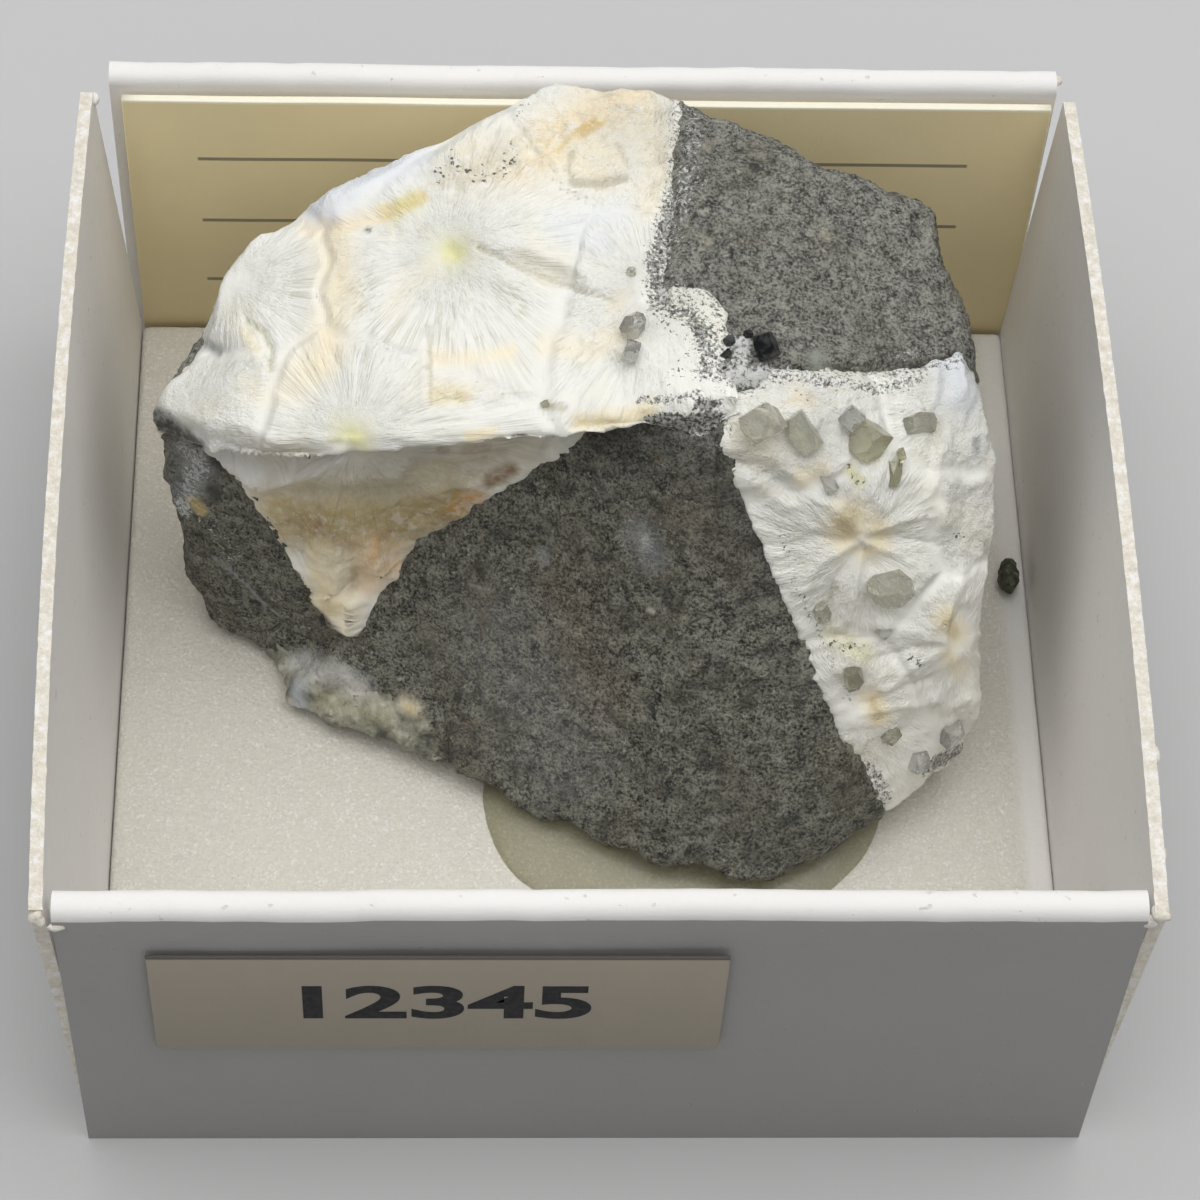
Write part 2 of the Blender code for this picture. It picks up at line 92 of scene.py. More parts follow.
PALETTE = {
    "cream": (0.91, 0.83, 0.64), "peach": (0.92, 0.77, 0.52), "ochre": (0.74, 0.56, 0.22),
    "orange": (0.62, 0.29, 0.05), "core": (0.72, 0.70, 0.33), "olive": (0.52, 0.50, 0.33),
    "grey tan": (0.55, 0.51, 0.39), "grey": (0.36, 0.37, 0.37), "bluish": (0.78, 0.81, 0.86),
    "dark": (0.045, 0.047, 0.045), "beige": (0.54, 0.44, 0.23), "tan": (0.37, 0.28, 0.12),
    "brown": (0.24, 0.13, 0.05), "pinkish": (0.82, 0.63, 0.41), "white": (0.88, 0.87, 0.84),
    "blue grey": (0.44, 0.47, 0.50), "pale green": (0.36, 0.38, 0.32), "straw": (0.86, 0.74, 0.47),
    "rock": (0.070, 0.068, 0.056),
}

# Strokes on the stone. Each one ends with a half width and a line of places, both as the camera sees
# them in its frame. Stains begin with a colour and its strength, relief with a height in millimetres,
# and the others with a strength. A few of the colour strokes are painted shade, as marked where they stand.
LEFT_STAINS_AND_SHADE = (
    ("cream", 0.85, 24, ((332, 240), (337, 300), (324, 345), (302, 378))),
    ("peach", 0.25, 15, ((332, 236), (338, 290))), ("peach", 0.35, 11, ((330, 330), (322, 372))),
    ("cream", 0.45, 40, ((480, 160), (560, 160), (640, 130))),
    ("peach", 0.75, 26, ((548, 140), (590, 108), (632, 98))), ("peach", 0.45, 18, ((512, 172), (548, 158))),
    ("cream", 0.7, 16, ((645, 120), (658, 160), (650, 200))),
    ("ochre", 0.7, 3, ((558, 150), (566, 140), (580, 131))), ("orange", 0.75, 7, ((586, 128), (595, 125))),
    ("ochre", 0.8, 7, ((580, 133), (600, 121))), ("ochre", 0.85, 8, ((386, 212), (405, 206), (421, 197))),
    ("core", 0.5, 12, ((390, 214), (415, 202))), ("peach", 0.6, 9, ((388, 214), (350, 222), (306, 229))),
    ("bluish", 0.8, 17, ((318, 212), (360, 186), (425, 160))),
    ("grey tan", 0.35, 22, ((440, 176), (500, 160))), ("dark", 0.9, 3, ((366, 230), (370, 231))),
    ("cream", 0.8, 11, ((600, 176), (575, 166), (596, 150), (618, 160))),
    # Painted shade: grey-tan beneath the small broken blocks, and on the next line along their left edge.
    ("grey tan", 0.8, 5, ((573, 182), (600, 182), (626, 176))),
    ("grey tan", 0.7, 3, ((572, 150), (568, 168), (576, 182))),
    ("grey tan", 0.55, 3, ((618, 146), (627, 165))),
    # Painted shade: grey-tan in the slit and along its lower side, over the dent that the relief cuts.
    ("grey tan", 0.42, 9, ((520, 256), (545, 265), (568, 275))),
    ("grey tan", 0.75, 2.5, ((478, 246), (505, 258), (545, 275), (590, 292), (614, 299))),
    ("core", 0.9, 13, ((451, 248), (453, 250))), ("core", 0.4, 24, ((448, 250), (455, 252))),
    ("cream", 0.35, 14, ((430, 268), (405, 285), (392, 310))),
    ("cream", 0.85, 9, ((434, 357), (470, 358), (510, 352))),
    ("cream", 0.7, 15, ((545, 345), (590, 350), (630, 330))), ("peach", 0.35, 10, ((612, 308), (622, 296))),
    ("straw", 0.8, 11, ((436, 394), (462, 392))), ("olive", 0.7, 2, ((434, 388), (446, 395), (462, 398))),
    # Painted shade: a grey-tan line on the low side of the step.
    ("grey tan", 0.5, 3, ((429, 326), (431, 404))),
    ("olive", 0.75, 3, ((246, 320), (262, 330), (270, 348), (270, 368))),
    ("straw", 0.5, 8, ((246, 334), (256, 350))), ("grey", 0.8, 6, ((204, 343), (216, 350))),
    ("grey", 0.8, 4, ((152, 380), (158, 376), (168, 374))),
    ("rock", 0.97, 9, ((152, 410), (172, 426), (192, 439))),
    ("rock", 0.97, 8, ((160, 426), (180, 438), (198, 446))), ("cream", 0.5, 16, ((250, 388), (270, 395))),
    ("core", 0.95, 11, ((349, 436), (354, 438))), ("core", 0.5, 20, ((345, 432), (358, 436))),
    ("olive", 0.6, 4, ((330, 441), (338, 441))), ("straw", 0.75, 8, ((470, 438), (492, 432))),
    ("straw", 0.85, 13, ((585, 422), (620, 422), (648, 412))),
    ("grey tan", 0.8, 5, ((548, 406), (562, 408))),
    ("bluish", 0.5, 18, ((600, 240), (560, 225), (620, 215))),
)
UNDER_LIP_STAINS = (
    ("beige", 0.35, 30, ((262, 470), (330, 470), (420, 470), (520, 450))),
    ("grey", 0.3, 13, ((330, 455), (352, 462), (400, 462), (440, 455))),
    ("white", 1.0, 10, ((205, 432), (232, 456), (262, 478), (300, 472), (345, 452))),
    ("beige", 0.95, 30, ((280, 510), (330, 520), (400, 510), (450, 495))),
    ("tan", 0.8, 22, ((290, 530), (340, 535), (400, 528), (450, 510))),
    ("grey tan", 0.7, 9, ((300, 500), (340, 492), (390, 500), (440, 480), (500, 462))),
    ("brown", 0.5, 5, ((318, 528), (350, 538), (390, 530))), ("brown", 0.35, 7, ((300, 520), (318, 528))),
    ("orange", 0.75, 9, ((455, 504), (478, 497))), ("brown", 0.8, 8, ((490, 482), (512, 472))),
    ("brown", 0.45, 5, ((440, 450), (446, 452))), ("brown", 0.35, 7, ((466, 452), (486, 450))),
    ("cream", 0.9, 24, ((335, 560), (335, 590))),
    ("pinkish", 0.95, 20, ((372, 548), (392, 555), (372, 572))),
    ("orange", 0.4, 4, ((376, 534), (366, 550), (358, 560))),
    ("tan", 0.5, 5, ((352, 560), (358, 580), (352, 596))),
    ("straw", 0.65, 14, ((318, 556), (326, 586), (342, 606))),
    ("cream", 0.85, 10, ((356, 596), (352, 624))), ("rock", 0.95, 6, ((316, 604), (328, 618), (336, 630))),
    ("beige", 0.6, 10, ((330, 604), (340, 600))),
)
LEFT_STREAKS = (
    (1.0, 20, ((364, 292), (378, 315), (405, 332))), (0.8, 14, ((430, 322), (455, 345), (480, 340))),
    (0.8, 9, ((516, 290), (520, 312))), (0.7, 14, ((545, 345), (590, 365), (625, 355))),
    (0.7, 14, ((272, 318), (292, 300), (300, 262))), (0.25, 60, ((350, 390), (370, 340))),
    (0.9, 22, ((300, 470), (352, 478), (440, 462), (520, 445))), (0.25, 40, ((230, 300), (220, 330))),
    (0.5, 12, ((190, 395), (230, 420))), (0.3, 40, ((420, 300), (480, 300))),
    (0.2, 30, ((600, 240), (630, 200))),
)
LEFT_ROUGH = (
    (1.0, 30, ((446, 180), (505, 160), (560, 132), (640, 104))),
    (0.8, 16, ((648, 112), (658, 160), (652, 205))), (0.8, 12, ((440, 392), (520, 396))),
    (0.7, 16, ((250, 340), (262, 360))), (0.6, 14, ((400, 225), (420, 230))),
    (0.7, 34, ((300, 520), (350, 560), (420, 520), (480, 490))), (0.5, 14, ((640, 290), (650, 310))),
)
RIGHT_ROUGH = (
    (0.8, 14, ((720, 388), (800, 392), (850, 405))), (0.9, 12, ((835, 640), (860, 650))),
    (0.7, 14, ((965, 700), (950, 745))), (0.35, 10, ((960, 460), (985, 520))),
    (0.6, 10, ((735, 440), (790, 530), (830, 620), (860, 700))),
)
LEFT_SPECKS = (
    (1.0, 12, ((437, 178), (452, 157), (470, 176), (505, 170), (512, 150))),
    (0.9, 8, ((516, 114), (526, 104))), (0.75, 10, ((668, 210), (655, 235), (642, 262))),
    (0.85, 18, ((660, 315), (690, 345), (672, 380))), (0.5, 8, ((640, 395), (668, 398))),
)
LEFT_RELIEF = (
    (-0.22, 9, ((515, 258), (545, 269), (570, 280))),
    (-0.3, 3, ((478, 248), (505, 260), (545, 278), (612, 301))),
    (0.22, 9, ((500, 246), (545, 256), (590, 276))), (-0.35, 11, ((449, 247), (454, 250))),
    (-0.3, 4, ((246, 320), (262, 330), (270, 348), (270, 368))), (0.2, 8, ((243, 336), (255, 352))),
    (-0.35, 6, ((204, 345), (215, 350))), (-0.35, 5, ((573, 183), (600, 184), (626, 178))),
    (0.3, 14, ((590, 160), (606, 160))), (-0.25, 4, ((571, 150), (567, 168))),
    (0.35, 20, ((318, 214), (420, 166))), (-0.25, 5, ((388, 215), (350, 224), (306, 231))),
    (-0.12, 5, ((432, 326), (434, 404))), (0.16, 7, ((424, 330), (424, 402))),
    (-0.2, 6, ((440, 385), (462, 400))), (0.14, 6, ((470, 395), (530, 392))),
    (-0.14, 5, ((475, 405), (540, 402))), (-0.25, 14, ((440, 176), (505, 166))),
    (-0.3, 6, ((560, 128), (548, 150))), (0.3, 16, ((620, 105), (650, 108))),
    (0.22, 8, ((650, 150), (656, 175))), (-0.22, 5, ((636, 190), (640, 214))),
    (-0.08, 20, ((322, 250), (326, 360))), (-0.3, 8, ((345, 432), (358, 432))),
)
UNDER_LIP_RELIEF = (
    (-0.35, 12, ((225, 446), (262, 466), (310, 462), (340, 452))),
    (0.55, 6, ((215, 448), (262, 486), (305, 474), (340, 456))),
    (-0.5, 16, ((300, 492), (340, 500), (400, 495))), (0.35, 16, ((330, 470), (356, 476), (400, 470))),
    (-0.35, 12, ((420, 470), (470, 470), (520, 452))), (0.25, 9, ((430, 490), (470, 484))),
    (0.9, 20, ((334, 560), (334, 590))), (0.9, 17, ((376, 550), (386, 562))),
    (-0.12, 6, ((356, 556), (358, 590))), (0.75, 10, ((356, 596), (352, 622))),
    (-0.25, 8, ((575, 426), (640, 424))), (-0.25, 8, ((300, 530), (300, 560))),
)
RIGHT_STAINS_AND_SHADE = (
    ("straw", 0.85, 20, ((848, 515), (842, 530))), ("tan", 0.45, 12, ((848, 518), (846, 526))),
    ("straw", 0.7, 13, ((866, 550), (880, 540), (876, 522))), ("straw", 0.8, 14, ((945, 618), (955, 632))),
    ("tan", 0.4, 8, ((948, 622), (954, 634))), ("straw", 0.6, 10, ((948, 654), (956, 668))),
    ("straw", 0.85, 12, ((872, 700), (878, 716))), ("tan", 0.4, 7, ((873, 704), (877, 714))),
    ("core", 0.45, 12, ((834, 636), (850, 645), (862, 652))), ("core", 0.6, 8, ((848, 470), (857, 480))),
    ("straw", 0.6, 10, ((800, 478), (818, 470))), ("straw", 0.5, 9, ((795, 400), (808, 402))),
    ("cream", 0.5, 16, ((740, 430), (760, 455))),
    ("grey tan", 0.5, 4, ((730, 452), (765, 448), (790, 466))),
    ("grey tan", 0.45, 4, ((752, 478), (778, 492))), ("grey tan", 0.6, 3, ((828, 605), (836, 585))),
    ("grey", 0.6, 2, ((858, 537), (864, 547))), ("bluish", 0.85, 20, ((946, 368), (957, 398))),
    # Painted shade: the blue-grey lines on this and the next line run along the knob's two side edges.
    ("blue grey", 0.5, 3, ((936, 372), (937, 400), (929, 424))),
    ("blue grey", 0.4, 3, ((975, 372), (972, 402), (962, 430))), ("grey", 0.7, 4, ((976, 440), (977, 452))),
    ("grey", 0.5, 4, ((984, 540), (986, 552))), ("grey tan", 0.3, 8, ((935, 420), (940, 450))),
    ("white", 0.6, 8, ((790, 378), (830, 400))),
)
RIGHT_STREAKS = (
    (0.5, 26, ((825, 540), (850, 570), (840, 600))), (0.45, 26, ((895, 520), (915, 540))),
    (0.3, 40, ((930, 440), (950, 520))), (0.5, 16, ((740, 450), (790, 490))),
    (0.5, 22, ((915, 660), (885, 690))), (0.4, 20, ((925, 600), (960, 590))),
)
RIGHT_SPECKS = (
    (0.9, 7, ((958, 534), (966, 542))), (0.9, 8, ((906, 656), (920, 662))),
    (1.0, 10, ((845, 468), (858, 482))), (0.95, 13, ((835, 640), (862, 648))),
    (0.7, 9, ((720, 392), (760, 398), (800, 400), (840, 408))), (0.6, 8, ((745, 488), (770, 520))),
    (0.6, 8, ((935, 752), (955, 748))), (0.6, 10, ((868, 770), (890, 788))),
    (0.5, 8, ((812, 590), (822, 615))),
)
RIGHT_RELIEF = (
    (0.35, 7, ((860, 539), (820, 560), (800, 590))), (-0.3, 6, ((860, 542), (836, 580), (826, 612))),
    (0.35, 8, ((862, 545), (852, 590), (850, 620))), (-0.25, 6, ((866, 546), (872, 566))),
    (0.3, 7, ((868, 530), (900, 520), (930, 515))), (-0.25, 6, ((866, 536), (905, 538), (940, 545))),
    (0.3, 7, ((866, 542), (900, 556), (925, 575))), (0.3, 7, ((854, 528), (830, 505), (815, 500))),
    (-0.25, 7, ((848, 540), (815, 538), (795, 545))), (0.3, 8, ((728, 446), (770, 456), (800, 480))),
    (-0.3, 6, ((735, 462), (770, 474), (790, 494))), (0.3, 7, ((745, 476), (768, 492), (790, 506))),
    (0.45, 12, ((880, 470), (870, 490), (880, 506))), (0.5, 14, ((832, 470), (845, 460))),
    (1.2, 15, ((946, 370), (957, 398))), (0.55, 12, ((770, 376), (830, 384), (880, 390), (915, 384))),
    (-0.35, 6, ((925, 400), (935, 430), (930, 470))), (0.3, 8, ((940, 450), (930, 500), (945, 520))),
    (-0.25, 6, ((955, 430), (965, 480), (968, 520))), (0.3, 7, ((943, 642), (905, 630), (885, 625))),
    (-0.3, 6, ((940, 646), (905, 650), (880, 660))), (0.3, 7, ((940, 648), (905, 672), (885, 690))),
    (-0.25, 6, ((862, 706), (900, 690), (930, 680))), (0.3, 7, ((864, 712), (900, 705), (935, 700))),
    (0.35, 8, ((943, 638), (950, 600), (960, 570))), (-0.25, 7, ((946, 640), (962, 610))),
    (0.35, 9, ((968, 700), (972, 718))),
)
BASALT_STAINS_AND_SHADE = (
    ("pale green", 0.75, 9, ((816, 356), (822, 372), (832, 386))),
    ("blue grey", 0.5, 20, ((190, 445), (198, 470), (188, 492))),
    ("ochre", 0.7, 7, ((194, 502), (202, 510))), ("straw", 0.4, 4, ((188, 498), (194, 500))),
    ("dark", 0.9, 9, ((216, 456), (220, 468))), ("dark", 0.85, 8, ((212, 490), (216, 497))),
    # Painted shadow: the first dark stroke on the next line, a weak one, is the shadow in the trench above
    # the right vein.
    ("dark", 0.35, 12, ((905, 372), (925, 378))), ("dark", 0.9, 16, ((160, 408), (184, 424), (200, 436))),
    ("blue grey", 0.6, 1.8, ((213, 556), (232, 572), (248, 586), (262, 602), (280, 616))),
    ("grey tan", 0.5, 5, ((703, 238), (709, 242))), ("grey tan", 0.4, 6, ((822, 233), (828, 237))),
    ("grey tan", 0.5, 4, ((705, 148), (709, 150))), ("blue grey", 0.32, 17, ((638, 532), (652, 556))),
    ("white", 0.3, 4, ((643, 540), (648, 548))), ("grey tan", 0.5, 4, ((650, 609), (653, 611))),
    ("brown", 0.1, 40, ((560, 600), (600, 700))), ("brown", 0.1, 34, ((690, 500), (740, 560))),
    ("dark", 0.4, 46, ((620, 440), (700, 450), (770, 570))), ("dark", 0.22, 60, ((700, 800), (800, 850))),
    ("blue grey", 0.12, 60, ((500, 640), (560, 760))), ("blue grey", 0.35, 7, ((541, 552), (545, 560))),
    # Painted shade: the last dark stroke on the next line darkens the gap just below the left vein's right
    # tip.
    ("white", 0.6, 3, ((650, 609), (653, 611))), ("dark", 0.6, 14, ((658, 412), (690, 404), (704, 394))),
)
BORDER_CRUMBS = (
    (0.9, 17, ((676, 196), (664, 232), (658, 265), (656, 290))),
    (0.85, 15, ((655, 302), (690, 314), (703, 335), (705, 372))),
    (0.72, 10, ((720, 378), (770, 378), (830, 386), (880, 392), (915, 386))),
    (0.75, 12, ((870, 768), (886, 796))), (0.95, 10, ((925, 768), (962, 748))),
    (0.7, 8, ((640, 400), (672, 400), (700, 394))), (1.7, 12, ((652, 424), (690, 424), (716, 420))),
    (1.2, 8, ((700, 404), (714, 404))), (0.6, 7, ((780, 532), (800, 590), (822, 640), (850, 700))),
)
CRUST_STAINS = (
    ("blue grey", 0.95, 9, ((298, 684), (300, 706))),
    ("white", 0.6, 14, ((300, 662), (340, 676), (360, 690))), ("dark", 0.7, 4, ((371, 682), (373, 688))),
    ("cream", 0.9, 9, ((404, 702), (414, 708))), ("ochre", 0.45, 5, ((408, 706), (412, 710))),
    ("olive", 0.35, 14, ((330, 700), (380, 715))),
)
BASALT_VEIL = (
    (0.24, 20, ((638, 532), (652, 556))), (0.2, 9, ((541, 552), (545, 560))),
    (0.55, 22, ((690, 118), (692, 150), (686, 190), (672, 222), (662, 258), (652, 290))),
    (1.1, 34, ((655, 310), (694, 326), (700, 362), (680, 388))),
    (0.95, 15, ((705, 382), (760, 376), (830, 388), (885, 394), (925, 380))),
    (0.8, 15, ((722, 345), (745, 342), (738, 368))),
    (0.75, 18, ((188, 442), (198, 466), (190, 486), (184, 506))), (1.0, 7, ((870, 383), (878, 383))),
    (0.5, 10, ((890, 360), (925, 352))), (0.45, 16, ((205, 520), (235, 560))),
)

# Small crystals: the solid that carries each, its place in the camera's frame, its sizes in
# millimetres, its turn, and its tint from clear to olive.
GLASSY_CRYSTALS = (
    ("right_vein", (764, 423), (1.65, 1.5, 1.3), 0.3, 0.45),
    ("right_vein", (803, 431), (1.15, 1.9, 1.2), 0.5, 0.55),
    ("right_vein", (853, 417), (1.0, 0.9, 0.9), 0.7, 0.15),
    ("right_vein", (869, 440), (1.6, 1.5, 1.3), 0.8, 0.95),
    ("right_vein", (892, 474), (0.55, 1.2, 0.7), 0.2, 0.9),
    ("right_vein", (919, 425), (1.6, 0.8, 0.9), 0.25, 0.6),
    ("right_vein", (901, 455), (0.4, 0.6, 0.5), 0.2, 0.9),
    ("right_vein", (826, 481), (0.55, 1.2, 0.6), 0.6, 0.2),
    ("right_vein", (893, 588), (1.75, 1.55, 1.3), 0.12, 0.5),
    ("right_vein", (884, 630), (0.7, 0.7, 0.5), 0.9, 0.3),
    ("right_vein", (853, 676), (0.85, 1.1, 0.8), 0.2, 0.6),
    ("right_vein", (889, 733), (0.8, 0.7, 0.7), 0.6, 0.7),
    ("right_vein", (950, 732), (1.1, 1.05, 0.9), 0.5, 0.1),
    ("right_vein", (917, 760), (0.85, 1.0, 0.8), 0.1, 0.15),
    ("right_vein", (822, 612), (0.7, 0.9, 0.6), 0.4, 0.5),
    ("left_vein", (635, 325), (1.1, 0.8, 0.8), 0.5, 0.1),
    ("left_vein", (632, 350), (0.9, 0.7, 0.7), 1.1, 0.12),
    ("left_vein", (631, 273), (0.35, 0.35, 0.4), 0.4, 0.5),
    ("left_vein", (545, 405), (0.35, 0.3, 0.3), 0.4, 0.8),
)
AUGITE_CRYSTALS = (
    ("basalt_matrix", (767, 346), (0.95, 1.25, 0.7), 0.1, 0.0),
    ("basalt_matrix", (729, 341), (0.5, 0.4, 0.4), 0.5, 0.0),
    ("basalt_matrix", (726, 355), (0.4, 0.35, 0.4), 0.9, 0.0),
    ("basalt_matrix", (748, 335), (0.35, 0.35, 0.4), 0.3, 0.0),
)
# Where the plain crystals stand on the CAD solids: place and size in millimetres.
PLAIN_CRYSTALS = (
    (6.3, -0.1, 1.5), (8.0, 0.0, 1.2), (9.7, 0.8, 1.3), (10.6, 0.3, 1.7), (11.5, -0.3, 1.2),
    (12.6, 1.5, 1.1), (11.8, -3.6, 1.9), (11.4, -4.5, 1.1), (10.3, -5.6, 1.1), (12.0, -6.6, 1.0),
    (13.3, -6.2, 0.9), (14.6, -5.3, 0.9), (1.6, 3.5, 1.3), (1.3, 2.5, 1.1), (2.2, 2.0, 0.9),
    (6.4, 2.9, 1.4), (5.3, 2.6, 0.7),
)
# How far a crystal's middle stands out, in its own heights, its size beside the one stated above, and
# the width of its edges in its own widths.
CRYSTAL_STAND = 0.12
CRYSTAL_SCALE = 0.80
CRYSTAL_EDGE = 0.02
# Painted shade of a crystal's faces, picked at random to stand in for the lighter and darker facets that
# light through a glassy crystal gives, and of its edges, which are smaller than the least face in square
# metres.
FACE_SHADES = (0.0, 0.1, 0.45, 0.95)
EDGE_SHADE = 0.6
LEAST_FACE = 1e-8
# The crust's upper edge as the camera sees it: across and down.
CRUST_EDGE = ((280, 645), (330, 682), (415, 700), (432, 715), (450, 800))
# Spacing of the mesh points of the two small pieces, in millimetres.
CRUST_SPACING = 0.16
CRUMB_SPACING = 0.07


# Sockets as values, and materials made from them.

class Signal:
    """A socket that takes part in arithmetic: each expression adds its Math nodes."""

    def __init__(self, look, socket):
        self.look = look
        self.socket = socket

    def __add__(self, other):
        return self.look.math("ADD", self, other)

    def __radd__(self, other):
        return self.look.math("ADD", other, self)

    def __sub__(self, other):
        return self.look.math("SUBTRACT", self, other)

    def __rsub__(self, other):
        return self.look.math("SUBTRACT", other, self)

    def __mul__(self, other):
        return self.look.math("MULTIPLY", self, other)

    def __rmul__(self, other):
        return self.look.math("MULTIPLY", other, self)


class Look:
    """A material that is being made. Its place is the object's own coordinates in millimetres."""

    def __init__(self, name):
        self.material = bpy.data.materials.new(name)
        self.material.use_nodes = True
        self.tree = self.material.node_tree
        self.surface = self.tree.nodes["Principled BSDF"]
        where = self.out(self.node("ShaderNodeTexCoord"), "Object")
        self.place = self.out(self.node("ShaderNodeMapping", {}, {"Vector": where, "Scale": (1 / MM,) * 3}))

    def node(self, kind, settings=None, inputs=None):
        made = self.tree.nodes.new(kind)
        for name, value in (settings or {}).items():
            if name == "stops":
                self.set_stops(made.color_ramp, value)
            else:
                setattr(made, name, value)
        for name, value in (inputs or {}).items():
            self.feed(made.inputs[name], value)
        return made

    def set_stops(self, ramp, stops):
        while len(ramp.elements) < len(stops):
            ramp.elements.new(1.0)
        for element, (position, colour) in zip(ramp.elements, stops):
            element.position = position
            element.color = (*colour, 1.0)

    def feed(self, socket, value):
        if isinstance(value, Signal):
            self.tree.links.new(value.socket, socket)
        elif hasattr(value, "__len__") and len(value) == 3 and socket.type == "RGBA":
            socket.default_value = (*value, 1.0)
        else:
            socket.default_value = value

    def out(self, node, name=0):
        return Signal(self, node.outputs[name])

    def math(self, operation, first, second=0.0):
        return self.out(self.node("ShaderNodeMath", {"operation": operation}, {0: first, 1: second}))

    def step(self, value, low, high):
        """0 below low and 1 above high, with a soft change between them."""
        ranged = self.node("ShaderNodeMapRange", {"interpolation_type": "SMOOTHSTEP"},
                           {"Value": value, "From Min": low, "From Max": high})
        return self.out(ranged)

    def blend(self, factor, first, second):
        mixed = self.node("ShaderNodeMix", {"data_type": "RGBA"}, {0: factor, 6: first, 7: second})
        return self.out(mixed, 2)

    def ramp(self, factor, stops):
        return self.out(self.node("ShaderNodeValToRGB", {"stops": stops}, {"Fac": factor}))

    def grain(self, per_mm, detail=2.0, roughness=0.5, vector=None, stretch=None):
        """Noise with a number of features a millimetre."""
        vector = vector or self.place
        if stretch:
            vector = self.out(self.node("ShaderNodeMapping", {}, {"Vector": vector, "Scale": stretch}))
        return self.out(self.node("ShaderNodeTexNoise", {}, {
            "Vector": vector, "Scale": per_mm, "Detail": detail, "Roughness": roughness}))

    def cells(self, per_mm, output="Distance"):
        made = self.node("ShaderNodeTexVoronoi", {}, {"Vector": self.place, "Scale": per_mm})
        return self.out(made, output)

    def painted(self, name, output="Fac"):
        """A value that was stored on the piece's points."""
        return self.out(self.node("ShaderNodeAttribute", {"attribute_name": name}), output)

    def axis(self, letter):
        return self.out(self.node("ShaderNodeSeparateXYZ", {}, {0: self.place}), letter)

    def bump(self, height_mm):
        return self.out(self.node("ShaderNodeBump", {}, {"Height": height_mm, "Strength": 1.0,
                                                         "Distance": MM}))

    def finish(self, **inputs):
        """Feeds the surface's sockets; a name's underscores are spaces."""
        for name, value in inputs.items():
            self.feed(self.surface.inputs[name.replace("_", " ")], value)
        return self.material


# Meshes.

def stone_settings():
    return bpy.context.scene.specimen_stone


def tray_settings():
    return bpy.context.scene.specimen_tray


def light_settings():
    return bpy.context.scene.specimen_light


def add_piece(name, mesh, materials, slot, *replaced, smooth=True):
    """Puts a finished mesh into the scene, riding on the specimen."""
    piece = bpy.data.objects.new(name, mesh)
    bpy.context.scene.collection.objects.link(piece)
    for look in materials:
        mesh.materials.append(look)
    if smooth:
        mesh.shade_smooth()
    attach(piece, ROOT)
    if replaced:
        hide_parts(*replaced)
    return piece


def as_mesh(name, bm):
    mesh = bpy.data.meshes.new(name)
    bm.to_mesh(mesh)
    bm.free()
    return mesh


def join(target, source):
    mesh = as_mesh("part", source)
    target.from_mesh(mesh)
    bpy.data.meshes.remove(mesh)


def evaluated(mesh, kind, **settings):
    """The mesh after one modifier."""
    holder = bpy.data.objects.new("holder", mesh)
    bpy.context.scene.collection.objects.link(holder)
    modifier = holder.modifiers.new("change", kind)
    for name, value in settings.items():
        setattr(modifier, name, value)
    graph = bpy.context.evaluated_depsgraph_get()
    made = bpy.data.meshes.new_from_object(holder.evaluated_get(graph))
    bpy.data.objects.remove(holder)
    return made


# Points of a solid that are nearer than this are one, in metres.
WELD = 2e-6


def merged_copy(node):
    """A copy of a CAD node's mesh as one closed skin, in millimetres."""
    bm = bmesh.new()
    bm.from_mesh(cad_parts[node].data)
    bmesh.ops.remove_doubles(bm, verts=bm.verts[:], dist=WELD)
    bmesh.ops.scale(bm, vec=(1 / MM, 1 / MM, 1 / MM), verts=bm.verts[:])
    return bm


def even_mesh(node, spacing_mm):
    """A dense copy of a CAD node in millimetres, with points at an even spacing."""
    coarse = as_mesh("coarse", merged_copy(node))
    dense = evaluated(coarse, "REMESH", mode="VOXEL", voxel_size=spacing_mm, adaptivity=0.0)
    bm = bmesh.new()
    bm.from_mesh(dense)
    return bm


def smoothstep(low, high, value):
    share = np.clip((value - low) / (high - low), 0.0, 1.0)
    return share * share * (3 - 2 * share)


def places(bm):
    return np.array([vert.co for vert in bm.verts])


def normals(bm):
    bm.normal_update()
    return np.array([vert.normal for vert in bm.verts])


def move_to(bm, points):
    for vert, point in zip(bm.verts, points):
        vert.co = point


def shaking(points, per_mm, seed):
    """Smooth noise from -1 to 1 at each point."""
    offset = Vector((seed * 17.3, seed * 5.1, seed * 9.7))
    return np.array([noise.noise(Vector(point) * per_mm + offset) for point in points])


def layered(points, *layers):
    """Shaking of several sizes, added up: each layer has a height, features a millimetre and a seed."""
    return sum(height * shaking(points, per_mm, seed) for height, per_mm, seed in layers)


def raised(bm, points, outward, rise):
    """Moves a mesh's points outward, each by its own rise, and returns their new places."""
    points = points + outward * rise[:, None]
    move_to(bm, points)
    return points


def node_tree(node):
    """A search tree over one CAD node, in millimetres."""
    return BVHTree.FromBMesh(merged_copy(node))


def closeness(points, tree):
    """Distance of each point to a mesh, and the nearest point on it."""
    nearest = [tree.find_nearest(Vector(point)) for point in points]
    return np.array([found[3] for found in nearest]), np.array([found[0] for found in nearest])


# How far a contact face is drawn, in millimetres: fully up to the near distance, not at all past the far.
CONTACT_REACH = 0.75
CONTACT_NEAR = 0.3
CONTACT_FAR = 1.3
LEAST_GAP = 0.05


def close_gap(bm, neighbours):
    """Draws a piece's contact faces over the gap and into its neighbours."""
    points = places(bm)
    for name in neighbours:
        away, nearest = closeness(points, node_tree(name))
        pull = CONTACT_REACH * (1 - smoothstep(CONTACT_NEAR, CONTACT_FAR, away))
        points += (nearest - points) * (pull / np.maximum(away, LEAST_GAP))[:, None]
    move_to(bm, points)


